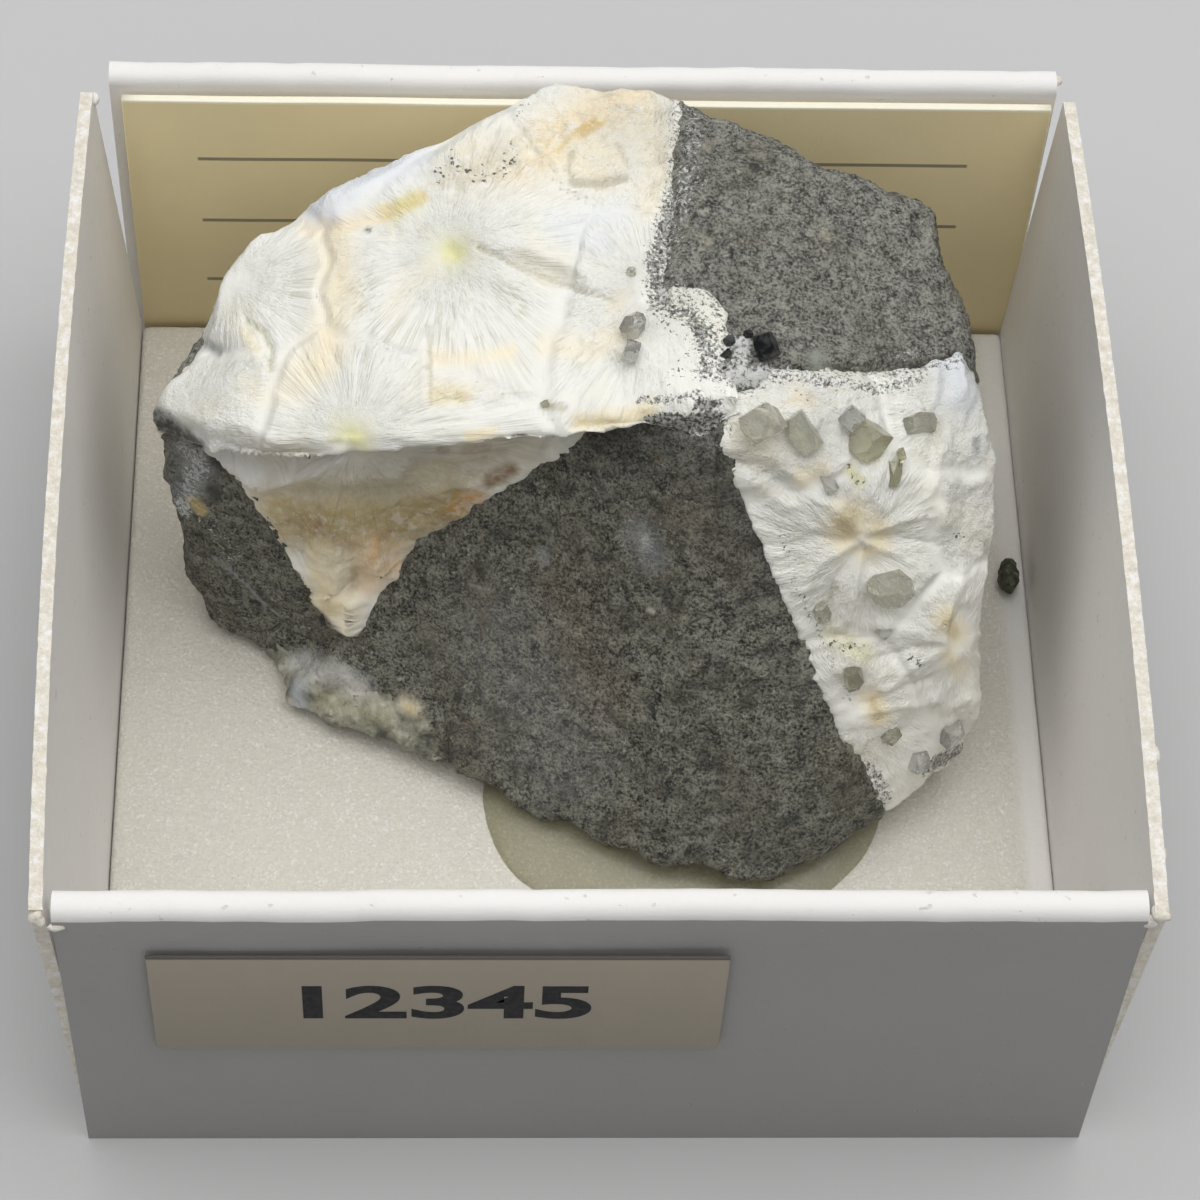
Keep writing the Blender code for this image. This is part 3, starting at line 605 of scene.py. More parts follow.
def in_frame(points):
    """Each point's place in the camera's frame, 1200 wide and high."""
    rays = points - np.array(CAMERA_PLACE + TRAY_MIDDLE)
    depth = rays @ np.array(CAMERA_FORWARD)
    return np.stack([FRAME_MIDDLE + FOCAL * (rays @ np.array(CAMERA_RIGHT)) / depth,
                     FRAME_MIDDLE - FOCAL * (rays @ np.array(CAMERA_UP)) / depth], axis=1)


def facing(outward):
    """0 to 1: how much a surface looks towards the camera."""
    return smoothstep(-0.1, 0.25, -(outward @ np.array(CAMERA_FORWARD)))


def line_distance(places_seen, line):
    """Distance of each place to a line of places, in the frame's units."""
    line = [np.array(place, dtype=float) for place in line]
    least = np.full(len(places_seen), 1e9)
    for start, end in zip(line, line[1:]):
        way = end - start
        share = np.clip(((places_seen - start) @ way) / max(way @ way, 1e-9), 0.0, 1.0)
        least = np.minimum(least, np.linalg.norm(places_seen - start - share[:, None] * way, axis=1))
    return least


# Half width in the frame past which a stroke has a softer and more uneven edge.
WIDE_STROKE = 8


class Painter:
    """Covers the camera's side of a piece with strokes that have uneven edges."""

    def __init__(self, points, outward, seed):
        self.seen = in_frame(points)
        self.facing = facing(outward)
        drift = np.stack([shaking(points, 1.6, seed + axis) for axis in (0, 1)], axis=1)
        fine = np.stack([shaking(points, 4.5, seed + 4 + axis) for axis in (0, 1)], axis=1)
        self.uneven = self.seen + 4.0 * drift + 1.5 * fine
        self.loose = self.seen + 1.5 * drift + 1.0 * fine
        self.colour = np.zeros((len(points), 4))

    def cover(self, half_width, line):
        if half_width > WIDE_STROKE:
            away = line_distance(self.uneven, line) / half_width
            return self.facing * (1 - smoothstep(0.0, 1.6, away))
        away = line_distance(self.loose, line) / half_width
        return self.facing * (1 - smoothstep(0.3, 1.3, away))

    # The strokes hold stains and painted shade alike.
    def stain_and_shade(self, stains, share=1.0):
        for name, strength, half_width, line in stains:
            cover = (share * strength * self.cover(half_width, line))[:, None]
            self.colour[:, :3] = self.colour[:, :3] * (1 - cover) + np.array(PALETTE[name]) * cover
            self.colour[:, 3:] = self.colour[:, 3:] * (1 - cover) + cover

    def amount(self, strokes):
        total = np.zeros(len(self.seen))
        for strength, half_width, line in strokes:
            total = np.maximum(total, strength * self.cover(half_width, line))
        return total

    def relief(self, strokes):
        total = np.zeros(len(self.seen))
        for height, half_width, line in strokes:
            away = line_distance(self.loose, line) / half_width
            total += self.facing * height * np.exp(-away ** 1.25)
        return total

    def store(self, mesh):
        alpha = np.maximum(self.colour[:, 3:], 1e-4)
        paint = np.hstack([self.colour[:, :3] / alpha, alpha])
        made = mesh.attributes.new("paint", "FLOAT_COLOR", "POINT")
        made.data.foreach_set("color", paint.astype(np.float32).ravel())


def store(mesh, name, values):
    made = mesh.attributes.new(name, "FLOAT" if values.ndim == 1 else "FLOAT_VECTOR", "POINT")
    made.data.foreach_set("value" if values.ndim == 1 else "vector", values.astype(np.float32).ravel())


def fan_fields(points, fans):
    """For each point: the way from its fan's middle, the fan's number, and how near a seam is."""
    middles = np.array([middle for middle, _ in fans]) + np.array(TRAY_MIDDLE)
    weights = np.array([weight for _, weight in fans])
    drift = np.stack([shaking(points, 0.7, 11 + axis) for axis in range(3)], axis=1)
    warped = points + 0.35 * drift
    apart = np.linalg.norm(warped[:, None, :] - middles[None], axis=2) - weights
    order = np.argsort(apart, axis=1)
    first = order[:, 0]
    rows = np.arange(len(points))
    lead = apart[rows, order[:, 1]] - apart[rows, first]
    return points - middles[first], first, 1 - smoothstep(0.0, 0.8, lead)


def fan_relief(from_middle, number, seam, fold):
    """Height in millimetres of the needles and broader folds, which end at the seams of the fans."""
    reach = np.linalg.norm(from_middle, axis=1)
    ways = from_middle / np.maximum(reach, 0.05)[:, None]
    rays = layered(ways, (0.8, 5.0, 21), (0.7, 11.0, 22), (0.8, 24.0, 23))
    broad = 0.5 - np.abs(shaking(ways, 3.2, 25)) * 2.2
    grown = smoothstep(0.2, 2.0, reach)
    levels = np.stack([reach * 0.5 + number * 3.1, number * 5.0, rays * 0.4], axis=1)
    terraces = shaking(levels, 1.0, 24)
    return grown * (1 - seam) * (0.06 * rays + fold * broad) + 0.045 * (1 - seam) * terraces


def box_between(low, high):
    bm = bmesh.new()
    low, high = Vector(low), Vector(high)
    matrix = Matrix.Translation((low + high) / 2) @ Matrix.Diagonal((*(high - low), 1.0))
    bmesh.ops.create_cube(bm, size=1.0, matrix=matrix)
    return bm


def edges_along(bm, axis, shortest):
    return [e for e in bm.edges if abs(e.verts[0].co[axis] - e.verts[1].co[axis]) > shortest]


def divide(bm, axis, shortest, cuts):
    """Cuts a piece across its longer edges along one axis."""
    bmesh.ops.subdivide_edges(bm, edges=edges_along(bm, axis, shortest), cuts=cuts, use_grid_fill=True)


def round_edges(bm, edges, width, segments):
    bmesh.ops.bevel(bm, geom=edges, offset=width, offset_type="OFFSET", segments=segments, profile=0.5,
                    affect="EDGES", material=-1)


def wobble(x, y, z):
    """Smooth noise from -1 to 1 at one place."""
    return noise.noise(Vector((x, y, z)))


def relax(bm, chosen, times):
    """Smooths the chosen points and leaves the others where they are."""
    for _ in range(times):
        bmesh.ops.smooth_vert(bm, verts=chosen, factor=0.5, use_axis_x=True, use_axis_y=True,
                              use_axis_z=True)


def flatten_crystals(bm, surface):
    """Takes the solid's plain crystals off a piece, where finished ones stand in their place."""
    for x, y, size in PLAIN_CRYSTALS:
        middle = highest_point(surface, x, y)
        if middle is None:
            continue
        near = [vert for vert in bm.verts if (vert.co - middle).length < 0.75 * size + 0.25]
        relax(bm, near, 50)


def seen_point(tree, place):
    """Where the camera sees a piece at a place in its frame, and the normal there."""
    across, down = place
    ray = (CAMERA_FORWARD + CAMERA_RIGHT * ((across - FRAME_MIDDLE) / FOCAL)
           + CAMERA_UP * ((FRAME_MIDDLE - down) / FOCAL))
    hit, normal, _, _ = tree.ray_cast(CAMERA_PLACE + TRAY_MIDDLE, ray.normalized())
    return hit, normal


# A height in millimetres that is above the whole specimen.
ABOVE_ALL = 40.0


def highest_point(tree, x, y):
    """The highest point of a mesh at a place, or None beside it."""
    return tree.ray_cast(Vector((x, y, ABOVE_ALL)) + TRAY_MIDDLE, DOWN)[0]


def finished_mesh(name, bm):
    """The mesh in metres, with outward normals."""
    bmesh.ops.scale(bm, vec=(MM, MM, MM), verts=bm.verts[:])
    bmesh.ops.recalc_face_normals(bm, faces=bm.faces[:])
    return as_mesh(name, bm)


# Finishes.

def toned(colour, share):
    """The colour with its channels multiplied."""
    return tuple(channel * share for channel in colour)


def card_look(name, white):
    look = Look(name)
    cloud = look.grain(0.12, 3.0)
    fibre = look.grain(6.0, 3.0, stretch=(1.0, 1.0, 2.2))
    pits = look.step(look.grain(2.6, 2.0), 0.70, 0.76)
    rubbed = look.step(look.grain(0.9, 4.0, 0.7), 0.60, 0.75)
    colour = look.blend(cloud, white, toned(white, 0.93))
    colour = look.blend(rubbed * 0.10, colour, (0.50, 0.47, 0.43))
    colour = look.blend(pits * 0.35, colour, (0.45, 0.42, 0.38))
    height = 0.012 * fibre + 0.05 * look.grain(0.35, 2.0) - 0.02 * pits
    return look.finish(Base_Color=colour, Roughness=0.58 + 0.12 * cloud, Normal=look.bump(height))


def cut_edge_look():
    look = Look("Cut card edge")
    settings = tray_settings()
    fibre = look.grain(2.2, 4.0, 0.7)
    fine = look.grain(9.0, 3.0, 0.7)
    colour = look.ramp(fibre, ((0.3, toned(settings.cut_colour, 0.82)), (0.5, settings.cut_colour),
                               (0.62, settings.card_colour)))
    height = 0.10 * fibre + 0.05 * fine
    return look.finish(Base_Color=colour, Roughness=0.9, Normal=look.bump(height))


# The foam's smooth pale margin along the right wall, in millimetres in the frame.
FOAM_MARGIN_START = 17.7
FOAM_MARGIN_END = 18.3


def foam_look():
    look = Look("Foam")
    foam = tray_settings().foam_colour
    soft = look.grain(0.8, 4.0, 0.6)
    fine = look.grain(8.0, 4.0, 0.75, stretch=(0.75, 1.0, 1.0))
    cell = look.cells(5.0)
    sparkle = look.step(look.cells(11.0, "Color"), 0.66, 0.80) * look.step(look.grain(1.6, 3.0), 0.30, 0.56)
    margin = look.step(look.axis("X"), FOAM_MARGIN_START, FOAM_MARGIN_END)
    sparkle = sparkle * (1 - margin)
    colour = look.ramp(soft, ((0.3, toned(foam, 0.92)), (0.7, foam)))
    colour = look.blend(look.step(fine, 0.40, 0.62) * 0.55, toned(foam, 0.80), colour)
    colour = look.blend(sparkle * 0.6, colour, (0.96, 0.94, 0.90))
    colour = look.blend(margin * 0.7, colour, (0.80, 0.79, 0.77))
    height = (0.04 * cell + 0.05 * fine) * (1 - 0.85 * margin) + 0.04 * sparkle
    return look.finish(Base_Color=colour, Roughness=0.75 - 0.35 * sparkle, Normal=look.bump(height))


# The label's ruled lines: their heights, and how far they reach from their middle, in millimetres in
# the frame. Above the last height the label is painted paler: a painted highlight along its top edge.
RULE_HEIGHTS = (13.6, 9.6, 5.6)
RULE_MIDDLE = 0.2
RULE_HALF_LENGTH = 16.0
LABEL_HIGHLIGHT_FROM = 17.0


def label_look():
    look = Look("Cream label card")
    cream = tray_settings().label_colour
    cloud = look.grain(0.3, 3.0)
    fibre = look.grain(7.0, 2.0)
    x, z = look.axis("X"), look.axis("Z")
    rules = None
    for height in RULE_HEIGHTS:
        line = 1 - look.step(look.math("ABSOLUTE", z - height), 0.07, 0.13)
        rules = line if rules is None else look.math("MAXIMUM", rules, line)
    past_end = look.step(look.math("ABSOLUTE", x - RULE_MIDDLE), RULE_HALF_LENGTH, RULE_HALF_LENGTH + 0.1)
    colour = look.blend(cloud, cream, toned(cream, 0.92))
    colour = look.blend(rules * (1 - past_end) * 0.75, colour, (0.10, 0.09, 0.07))
    # Painted highlight: the strip above that height is paler, for the light along the label's top edge.
    top = look.step(z, LABEL_HIGHLIGHT_FROM, LABEL_HIGHLIGHT_FROM + 0.15)
    colour = look.blend(top, colour, (0.93, 0.89, 0.72))
    return look.finish(Base_Color=colour, Roughness=0.6, Normal=look.bump(0.01 * fibre))


# Height from which the sticker's upper edge gets a dark line, a painted shadow, in millimetres.
STICKER_SHADOW_LINE = 15.12


def sticker_look():
    look = Look("Sticker paper")
    paper = tray_settings().sticker_colour
    cloud = look.grain(0.4, 3.0)
    fibre = look.grain(6.0, 3.0)
    colour = look.blend(cloud, paper, toned(paper, 0.92))
    # Painted shadow: a dark line along the sticker's upper edge.
    rim = look.step(look.axis("Z"), STICKER_SHADOW_LINE, STICKER_SHADOW_LINE + 0.1)
    colour = look.blend(rim, colour, (0.10, 0.09, 0.08))
    return look.finish(Base_Color=colour, Roughness=0.65, Normal=look.bump(0.012 * fibre))


def ink_look():
    look = Look("Black ink")
    worn = look.grain(5.0, 3.0)
    colour = look.ramp(worn, ((0.35, (0.006, 0.006, 0.007)), (0.75, (0.03, 0.028, 0.03))))
    return look.finish(Base_Color=colour, Roughness=0.8)


def gel_look():
    look = Look("Mounting gel")
    swirl = look.grain(0.5, 3.0)
    colour = look.ramp(swirl, ((0.3, (0.68, 0.66, 0.47)), (0.7, (0.76, 0.74, 0.58))))
    return look.finish(Base_Color=colour, Roughness=0.24, IOR=1.42, Transmission_Weight=0.88,
                       Normal=look.bump(0.03 * look.grain(1.5, 2.0)))


def glass_look():
    """Clear to olive glassy crystals; the tint is stored on each crystal, and a painted shade on each face.
    """
    look = Look("Glassy crystal")
    tint, tone = look.painted("tint"), look.painted("tone")
    veil = look.grain(1.6, 3.0)
    colour = look.blend(tint, (0.98, 0.985, 0.99), (0.86, 0.84, 0.60))
    colour = look.blend(look.step(veil, 0.45, 0.7) * 0.5, colour, (0.95, 0.95, 0.92))
    # Painted shade: each face is darkened by its stored shade.
    colour = look.blend(0.8 * tone, colour, look.blend(tint, (0.36, 0.37, 0.38), (0.34, 0.33, 0.18)))
    return look.finish(Base_Color=colour, Roughness=0.01 + 0.08 * veil, IOR=1.55,
                       Transmission_Weight=0.86, Normal=look.bump(0.02 * look.grain(3.0, 2.0)))


def augite_look():
    look = Look("Black crystal")
    veil = look.grain(3.0, 3.0)
    colour = look.ramp(veil, ((0.45, (0.008, 0.009, 0.010)), (0.8, (0.09, 0.09, 0.09))))
    return look.finish(Base_Color=colour, Roughness=0.16 + 0.15 * veil)


def painted_over(look, colour):
    """Lays the painted stains and painted shade over a colour, with uneven strength."""
    stain_and_shade = look.node("ShaderNodeAttribute", {"attribute_name": "paint"})
    strength = look.out(stain_and_shade, "Alpha")
    uneven = strength * (0.35 + 1.25 * look.grain(2.9, 5.0, 0.72))
    return look.blend(look.math("MINIMUM", uneven, 1.0), colour, look.out(stain_and_shade, "Color"))


def basalt_look():
    look = Look("Basalt")
    settings = stone_settings()
    top, veil = look.painted("top"), look.painted("veil")
    cloud = look.grain(0.35, 3.0)
    mottle = look.grain(2.0, 5.0, 0.68)
    grit = look.grain(8.0, 4.0, 0.7)
    salt = look.cells(7.0, "Color")
    dark = settings.basalt_colour
    pale = settings.pale_and_lit_top_colour
    shade = look.step(mottle * 0.45 + grit * 0.55, 0.36, 0.64)
    # The top faces get the paler mix and the steep faces the darker one: partly the top face's own paler
    # grey, partly painted light on the top faces and painted shade on the steep ones.
    dark_mix = look.blend(shade, toned(dark, 0.04), toned(dark, 2.7))
    pale_and_lit_top_mix = look.blend(shade, toned(pale, 0.12), toned(pale, 2.05))
    colour = look.blend(top, dark_mix, pale_and_lit_top_mix)
    colour = look.blend(look.step(cloud, 0.50, 0.66) * 0.30, colour, (0.11, 0.092, 0.055))
    smudge = look.step(look.grain(0.9, 4.0, 0.6), 0.50, 0.66)
    colour = look.blend(smudge * (0.50 - 0.36 * top), colour, (0.030, 0.030, 0.026))
    haze = look.step(look.grain(1.2, 5.0, 0.7), 0.53, 0.72) * (1 - 0.65 * top)
    colour = look.blend(haze * shade * 0.55, colour, (0.25, 0.25, 0.235))
    grains = look.step(salt, 0.84, 0.92) * look.step(grit, 0.42, 0.58)
    colour = look.blend(grains * (0.55 + 0.2 * top), colour, (0.44, 0.44, 0.38))
    rusty = look.step(look.cells(1.9, "Color"), 0.90, 0.96) * look.step(grit, 0.45, 0.6)
    colour = look.blend(rusty * 0.6, colour, (0.24, 0.13, 0.06))
    pits = look.step(look.cells(2.6, "Color"), 0.90, 0.95)
    colour = look.blend(pits * 0.7, colour, (0.014, 0.014, 0.013))
    crumbs = look.step(veil + (look.grain(5.5, 5.0, 0.75) - 0.5) * 2.4, 0.52, 0.74)
    colour = look.blend(crumbs, colour, (0.78, 0.78, 0.76))
    colour = painted_over(look, colour)
    height = 0.10 * grit + 0.14 * mottle + 0.04 * crumbs
    return look.finish(Base_Color=colour, Roughness=0.55 + 0.3 * grit, Normal=look.bump(height))


def vein_look(name):
    """Silky white needles that fan out, with stains and painted shade where they were painted."""
    look = Look(name)
    white = stone_settings().thomsonite_colour
    needle = look.painted("needle", "Vector")
    reach = look.out(look.node("ShaderNodeVectorMath", {"operation": "LENGTH"}, {0: needle}), "Value")
    way = look.out(look.node("ShaderNodeVectorMath", {"operation": "NORMALIZE"}, {0: needle}))
    rays = look.grain(6.5, 3.0, 0.6, vector=way)
    fine = look.grain(22.0, 2.0, 0.6, vector=way)
    finest = look.grain(55.0, 2.0, 0.6, vector=way)
    outer = look.step(reach, 0.3, 1.8) * (1 - look.painted("seam"))
    cloud = look.grain(0.5, 3.0)
    colour = look.blend(cloud, white, toned(white, 0.94))
    colour = look.blend(look.step(look.grain(0.33, 2.0), 0.5, 0.7) * 0.35, colour, (0.90, 0.84, 0.68))
    strands = look.step(rays * 0.3 + fine * 0.35 + finest * 0.35, 0.47, 0.60) * outer
    colour = look.blend(strands * 0.28, colour, (0.60, 0.60, 0.50))
    colour = painted_over(look, colour)
    rough = look.painted("rough")
    mottle = look.step(look.grain(2.4, 4.0, 0.65), 0.46, 0.62)
    colour = look.blend(rough * mottle * 0.42, colour, (0.62, 0.54, 0.36))
    colour = look.blend(rough * look.step(look.grain(1.7, 3.0, 0.6), 0.54, 0.64) * 0.5, colour, white)
    colour = look.blend(strands * look.painted("streaks") * 0.60, colour, (0.50, 0.475, 0.33))
    crumbs = look.step(look.painted("border") + (look.grain(6.5, 5.0, 0.75) - 0.5) * 2.6, 0.60, 0.80)
    rock = look.ramp(look.grain(8.0, 2.0), ((0.4, (0.06, 0.06, 0.052)), (0.6, (0.40, 0.40, 0.37))))
    colour = look.blend(crumbs, colour, rock)
    specks = look.step(look.painted("specks") * 0.5 + (look.grain(5.0, 3.0, 0.6) - 0.5) * 2.4, 0.62, 0.74)
    colour = look.blend(specks * 0.9, colour, (0.055, 0.06, 0.055))
    height = ((0.12 * rays + 0.09 * fine + 0.045 * finest) * outer + 0.03 * look.grain(3.0, 4.0)
              + 0.10 * rough * look.grain(3.6, 4.0, 0.65))
    return look.finish(Base_Color=colour, Roughness=0.42 + 0.2 * fine, Normal=look.bump(height),
                       Subsurface_Weight=0.12, Subsurface_Radius=(0.6, 0.5, 0.4), Subsurface_Scale=MM)


def crust_look():
    look = Look("Zeolite crust")
    base = look.grain(0.9, 4.0, 0.65)
    grit = look.grain(4.0, 3.0, 0.6)
    colour = look.ramp(base, ((0.36, (0.06, 0.062, 0.052)), (0.47, (0.19, 0.19, 0.145)),
                              (0.57, (0.36, 0.35, 0.28)), (0.7, (0.60, 0.60, 0.56))))
    colour = painted_over(look, colour)
    colour = look.blend(look.step(grit, 0.62, 0.7) * 0.6, colour, (0.06, 0.06, 0.05))
    return look.finish(Base_Color=colour, Roughness=0.5, Normal=look.bump(0.12 * base + 0.06 * grit))


def crumb_look():
    look = Look("Crumb")
    grit = look.grain(4.0, 4.0, 0.7)
    colour = look.ramp(grit, ((0.38, (0.020, 0.022, 0.014)), (0.6, (0.10, 0.10, 0.065)),
                              (0.75, (0.25, 0.24, 0.18))))
    return look.finish(Base_Color=colour, Roughness=0.75, Normal=look.bump(0.08 * grit))


# The stone.

def solid_tree(*nodes):
    """One search tree over several CAD nodes, in millimetres."""
    joined = bmesh.new()
    for node in nodes:
        join(joined, merged_copy(node))
    tree = BVHTree.FromBMesh(joined)
    joined.free()
    return tree


# Heights between which the left vein's lip turns into its steep front, in millimetres.
LIP_LOW = 18.4
LIP_HIGH = 19.6


def build_vein(name, fans, neighbours, stains, streaks, rough, specks, relief, fold, under_stains=(),
               under_relief=()):
    """A vein with its needles. The under strokes lie on the steep front below its lip."""
    bm = even_mesh(name, stone_settings().vein_spacing / MM)
    flatten_crystals(bm, node_tree(name))
    close_gap(bm, neighbours)
    relax(bm, bm.verts[:], 4)
    points, outward = places(bm), normals(bm)
    from_middle, number, seam = fan_fields(points, fans)
    painter = Painter(points, outward, 3)
    under = np.zeros(len(points))
    if under_stains:
        steep = smoothstep(0.25, 0.6, -outward[:, 1])
        under = steep * (1 - smoothstep(LIP_LOW, LIP_HIGH, points[:, 2]))
    rise = fan_relief(from_middle, number, seam, fold)
    rise += 0.75 * painter.relief(relief) * (1 - under) + painter.relief(under_relief)
    rise += layered(points, (0.06, 0.8, 31), (0.020, 2.2, 32), (0.012, 5.5, 33))
    roughness = painter.amount(rough)
    rise += roughness * layered(points, (0.13, 1.5, 36), (0.10, 3.4, 37))
    away, _ = closeness(points, node_tree("basalt_matrix"))
    edge = 1 - smoothstep(0.2, 1.4, away)
    rise += edge * layered(points, (0.10, 1.8, 34), (0.06, 4.0, 35))
    points = raised(bm, points, outward, rise)
    mesh = finished_mesh(name, bm)
    painter.stain_and_shade(stains)
    painter.stain_and_shade(under_stains, smoothstep(0.0, 0.35, under))
    painter.store(mesh)
    store(mesh, "needle", from_middle)
    store(mesh, "seam", seam)
    store(mesh, "streaks", painter.amount(streaks))
    store(mesh, "specks", painter.amount(specks))
    store(mesh, "rough", roughness)
    level = smoothstep(0.45, 0.8, outward[:, 2])
    border = (1 - smoothstep(0.1, 0.9, away)) * level * smoothstep(0.5, 2.5, points[:, 0])
    store(mesh, "border", np.maximum(0.62 * border, painter.amount(BORDER_CRUMBS)))
    look = vein_look("Thomsonite " + name.split("_")[0])
    add_piece(name + "_finished", mesh, [look], "thomsonite", name)


class SPECIMEN_OT_left_vein(bpy.types.Operator):
    """Build the left vein with its needle fans, stains, painted shade and undercut front"""

    bl_idname = "specimen.left_vein"
    bl_label = "Left vein"

    def execute(self, context):
        build_vein("left_vein", LEFT_FANS, ("basalt_matrix", "right_vein"), LEFT_STAINS_AND_SHADE, LEFT_STREAKS,
                   LEFT_ROUGH, LEFT_SPECKS, LEFT_RELIEF, 0.02, UNDER_LIP_STAINS, UNDER_LIP_RELIEF)
        return {"FINISHED"}


class SPECIMEN_OT_right_vein(bpy.types.Operator):
    """Build the right vein with its needle sprays"""

    bl_idname = "specimen.right_vein"
    bl_label = "Right vein"

    def execute(self, context):
        build_vein("right_vein", RIGHT_FANS, ("basalt_matrix",), RIGHT_STAINS_AND_SHADE, RIGHT_STREAKS,
                   RIGHT_ROUGH, RIGHT_SPECKS, RIGHT_RELIEF, 0.05)
        return {"FINISHED"}


# Where the basalt's front faces meet in a rounded crease, in millimetres in the frame.
CREASE_LEFT = -1.5
CREASE_RIGHT = 11.0
CREASE_BACK = -0.6
CREASE_LOW = 5.5


class SPECIMEN_OT_basalt(bpy.types.Operator):
    """Build the rough basalt with its grain, white crumbs and spots"""

    bl_idname = "specimen.basalt"
    bl_label = "Basalt"

    def execute(self, context):
        bm = even_mesh("basalt_matrix", stone_settings().spacing / MM)
        flatten_crystals(bm, node_tree("basalt_matrix"))
        relax(bm, bm.verts[:], 3)
        crease = [vert for vert in bm.verts
                  if CREASE_LEFT < vert.co.x < CREASE_RIGHT and vert.co.y < CREASE_BACK
                  and vert.co.z > CREASE_LOW]
        relax(bm, crease, 25)
        points, outward = places(bm), normals(bm)
        away, _ = closeness(points, solid_tree("left_vein", "right_vein", "zeolite_crust"))
        free = smoothstep(0.0, 0.5, away)
        rise = layered(points, (0.17, 0.55, 41), (0.13, 1.3, 42), (0.11, 2.9, 43), (0.07, 5.5, 44))
        points = raised(bm, points, outward, rise * (0.4 + 0.6 * free))
        mesh = finished_mesh("basalt_matrix", bm)
        # How much a face looks up. The basalt's paler top colour follows it, which is partly painted light.
        top = smoothstep(0.55, 0.85, outward[:, 2])
        near_vein = top * (1 - smoothstep(0.0, 1.1, away)) * 0.55 * smoothstep(-2.0, 1.0, points[:, 0])
        painter = Painter(points, outward, 7)
        painter.stain_and_shade(BASALT_STAINS_AND_SHADE)
        painter.store(mesh)
        store(mesh, "top", top)
        store(mesh, "veil", np.maximum(painter.amount(BASALT_VEIL), near_vein))
        add_piece("basalt_finished", mesh, [basalt_look()], "basalt", "basalt_matrix")
        return {"FINISHED"}


class SPECIMEN_OT_crust(bpy.types.Operator):
    """Build the thin crust along the lower left edge"""

    bl_idname = "specimen.crust"
    bl_label = "Crust"

    def execute(self, context):
        bm = even_mesh("zeolite_crust", CRUST_SPACING)
        close_gap(bm, ("basalt_matrix",))
        relax(bm, bm.verts[:], 3)
        points, outward = places(bm), normals(bm)
        rise = layered(points, (0.28, 0.9, 51), (0.14, 2.2, 52), (0.06, 4.6, 53))
        points = raised(bm, points, outward, rise)
        mesh = finished_mesh("zeolite_crust", bm)
        painter = Painter(points, outward, 9)
        painter.stain_and_shade(CRUST_STAINS)
        painter.store(mesh)
        seen = in_frame(points)
        edge = np.interp(seen[:, 0], *zip(*CRUST_EDGE))
        below = seen[:, 1] > edge + 7 * shaking(points, 2.0, 54) + 4 * shaking(points, 5.0, 55)
        for face in mesh.polygons:
            face.material_index = 0 if below[face.vertices[0]] else 1
        add_piece("crust_finished", mesh, [crust_look(), basalt_look()], "zeolite", "zeolite_crust")
        return {"FINISHED"}


def crystal(seed):
    """A stubby crystal one unit wide with flat faces: a cube whose corners and some edges are cut off."""
    pick = random.Random(seed)
    bm = bmesh.new()
    bmesh.ops.create_cube(bm, size=1.0)
    for number in range(6):
        corner = Vector((pick.choice((-1, 1)), pick.choice((-1, 1)), 1 if number < 4 else -1))
        turn = Vector((pick.uniform(-0.5, 0.5), pick.uniform(-0.5, 0.5), pick.uniform(-0.3, 0.5)))
        way = (corner + turn).normalized()
        cut = bmesh.ops.bisect_plane(bm, geom=bm.verts[:] + bm.edges[:] + bm.faces[:], dist=1e-6,
                                     plane_co=way * pick.uniform(0.56, 0.70), plane_no=way,
                                     clear_outer=True)
        rim = [item for item in cut["geom_cut"] if isinstance(item, bmesh.types.BMEdge)]
        if rim:
            bmesh.ops.edgeloop_fill(bm, edges=rim)
    return bm


def build_crystals(name, crystals, look, slot):
    """Crystals set into the surface of a piece of the stone."""
    whole = bmesh.new()
    tints = []
    for number, (node, place, sizes, turn, tint) in enumerate(crystals):
        hit, normal = seen_point(node_tree(node), place)
        single = crystal(100 + number)
        round_edges(single, single.edges[:], CRYSTAL_EDGE, 1)
        lean = Vector((0.0, 0.0, 1.0)).rotation_difference(normal).to_matrix().to_4x4()
        tilt = Euler((0.25 - 0.5 * (number % 2), 0.15 + 0.1 * (number % 3), turn)).to_matrix().to_4x4()
        move = (Matrix.Translation(hit + normal * sizes[2] * CRYSTAL_STAND) @ lean @ tilt
                @ Matrix.Diagonal((*(CRYSTAL_SCALE * size for size in sizes), 1.0)))
        bmesh.ops.transform(single, matrix=move, verts=single.verts[:])
        tints += [tint] * len(single.verts)
        join(whole, single)
    mesh = finished_mesh(name, whole)
    store(mesh, "tint", np.array(tints))
    # Each face gets a painted shade picked at random, and the narrow edge faces a middle one.
    pick = random.Random(5)
    facet_shades = np.array([pick.choice(FACE_SHADES) if face.area > LEAST_FACE else EDGE_SHADE
                      for face in mesh.polygons])
    made = mesh.attributes.new("tone", "FLOAT", "FACE")
    made.data.foreach_set("value", facet_shades.astype(np.float32))
    add_piece(name, mesh, [look], slot, smooth=False)


class SPECIMEN_OT_crystals(bpy.types.Operator):
    """Set the glassy and the black crystals into the stone"""

    bl_idname = "specimen.crystals"
    bl_label = "Crystals"

    def execute(self, context):
        build_crystals("glassy_crystals", GLASSY_CRYSTALS, glass_look(), "thomsonite")
        build_crystals("augite_crystals", AUGITE_CRYSTALS, augite_look(), "basalt")
        return {"FINISHED"}


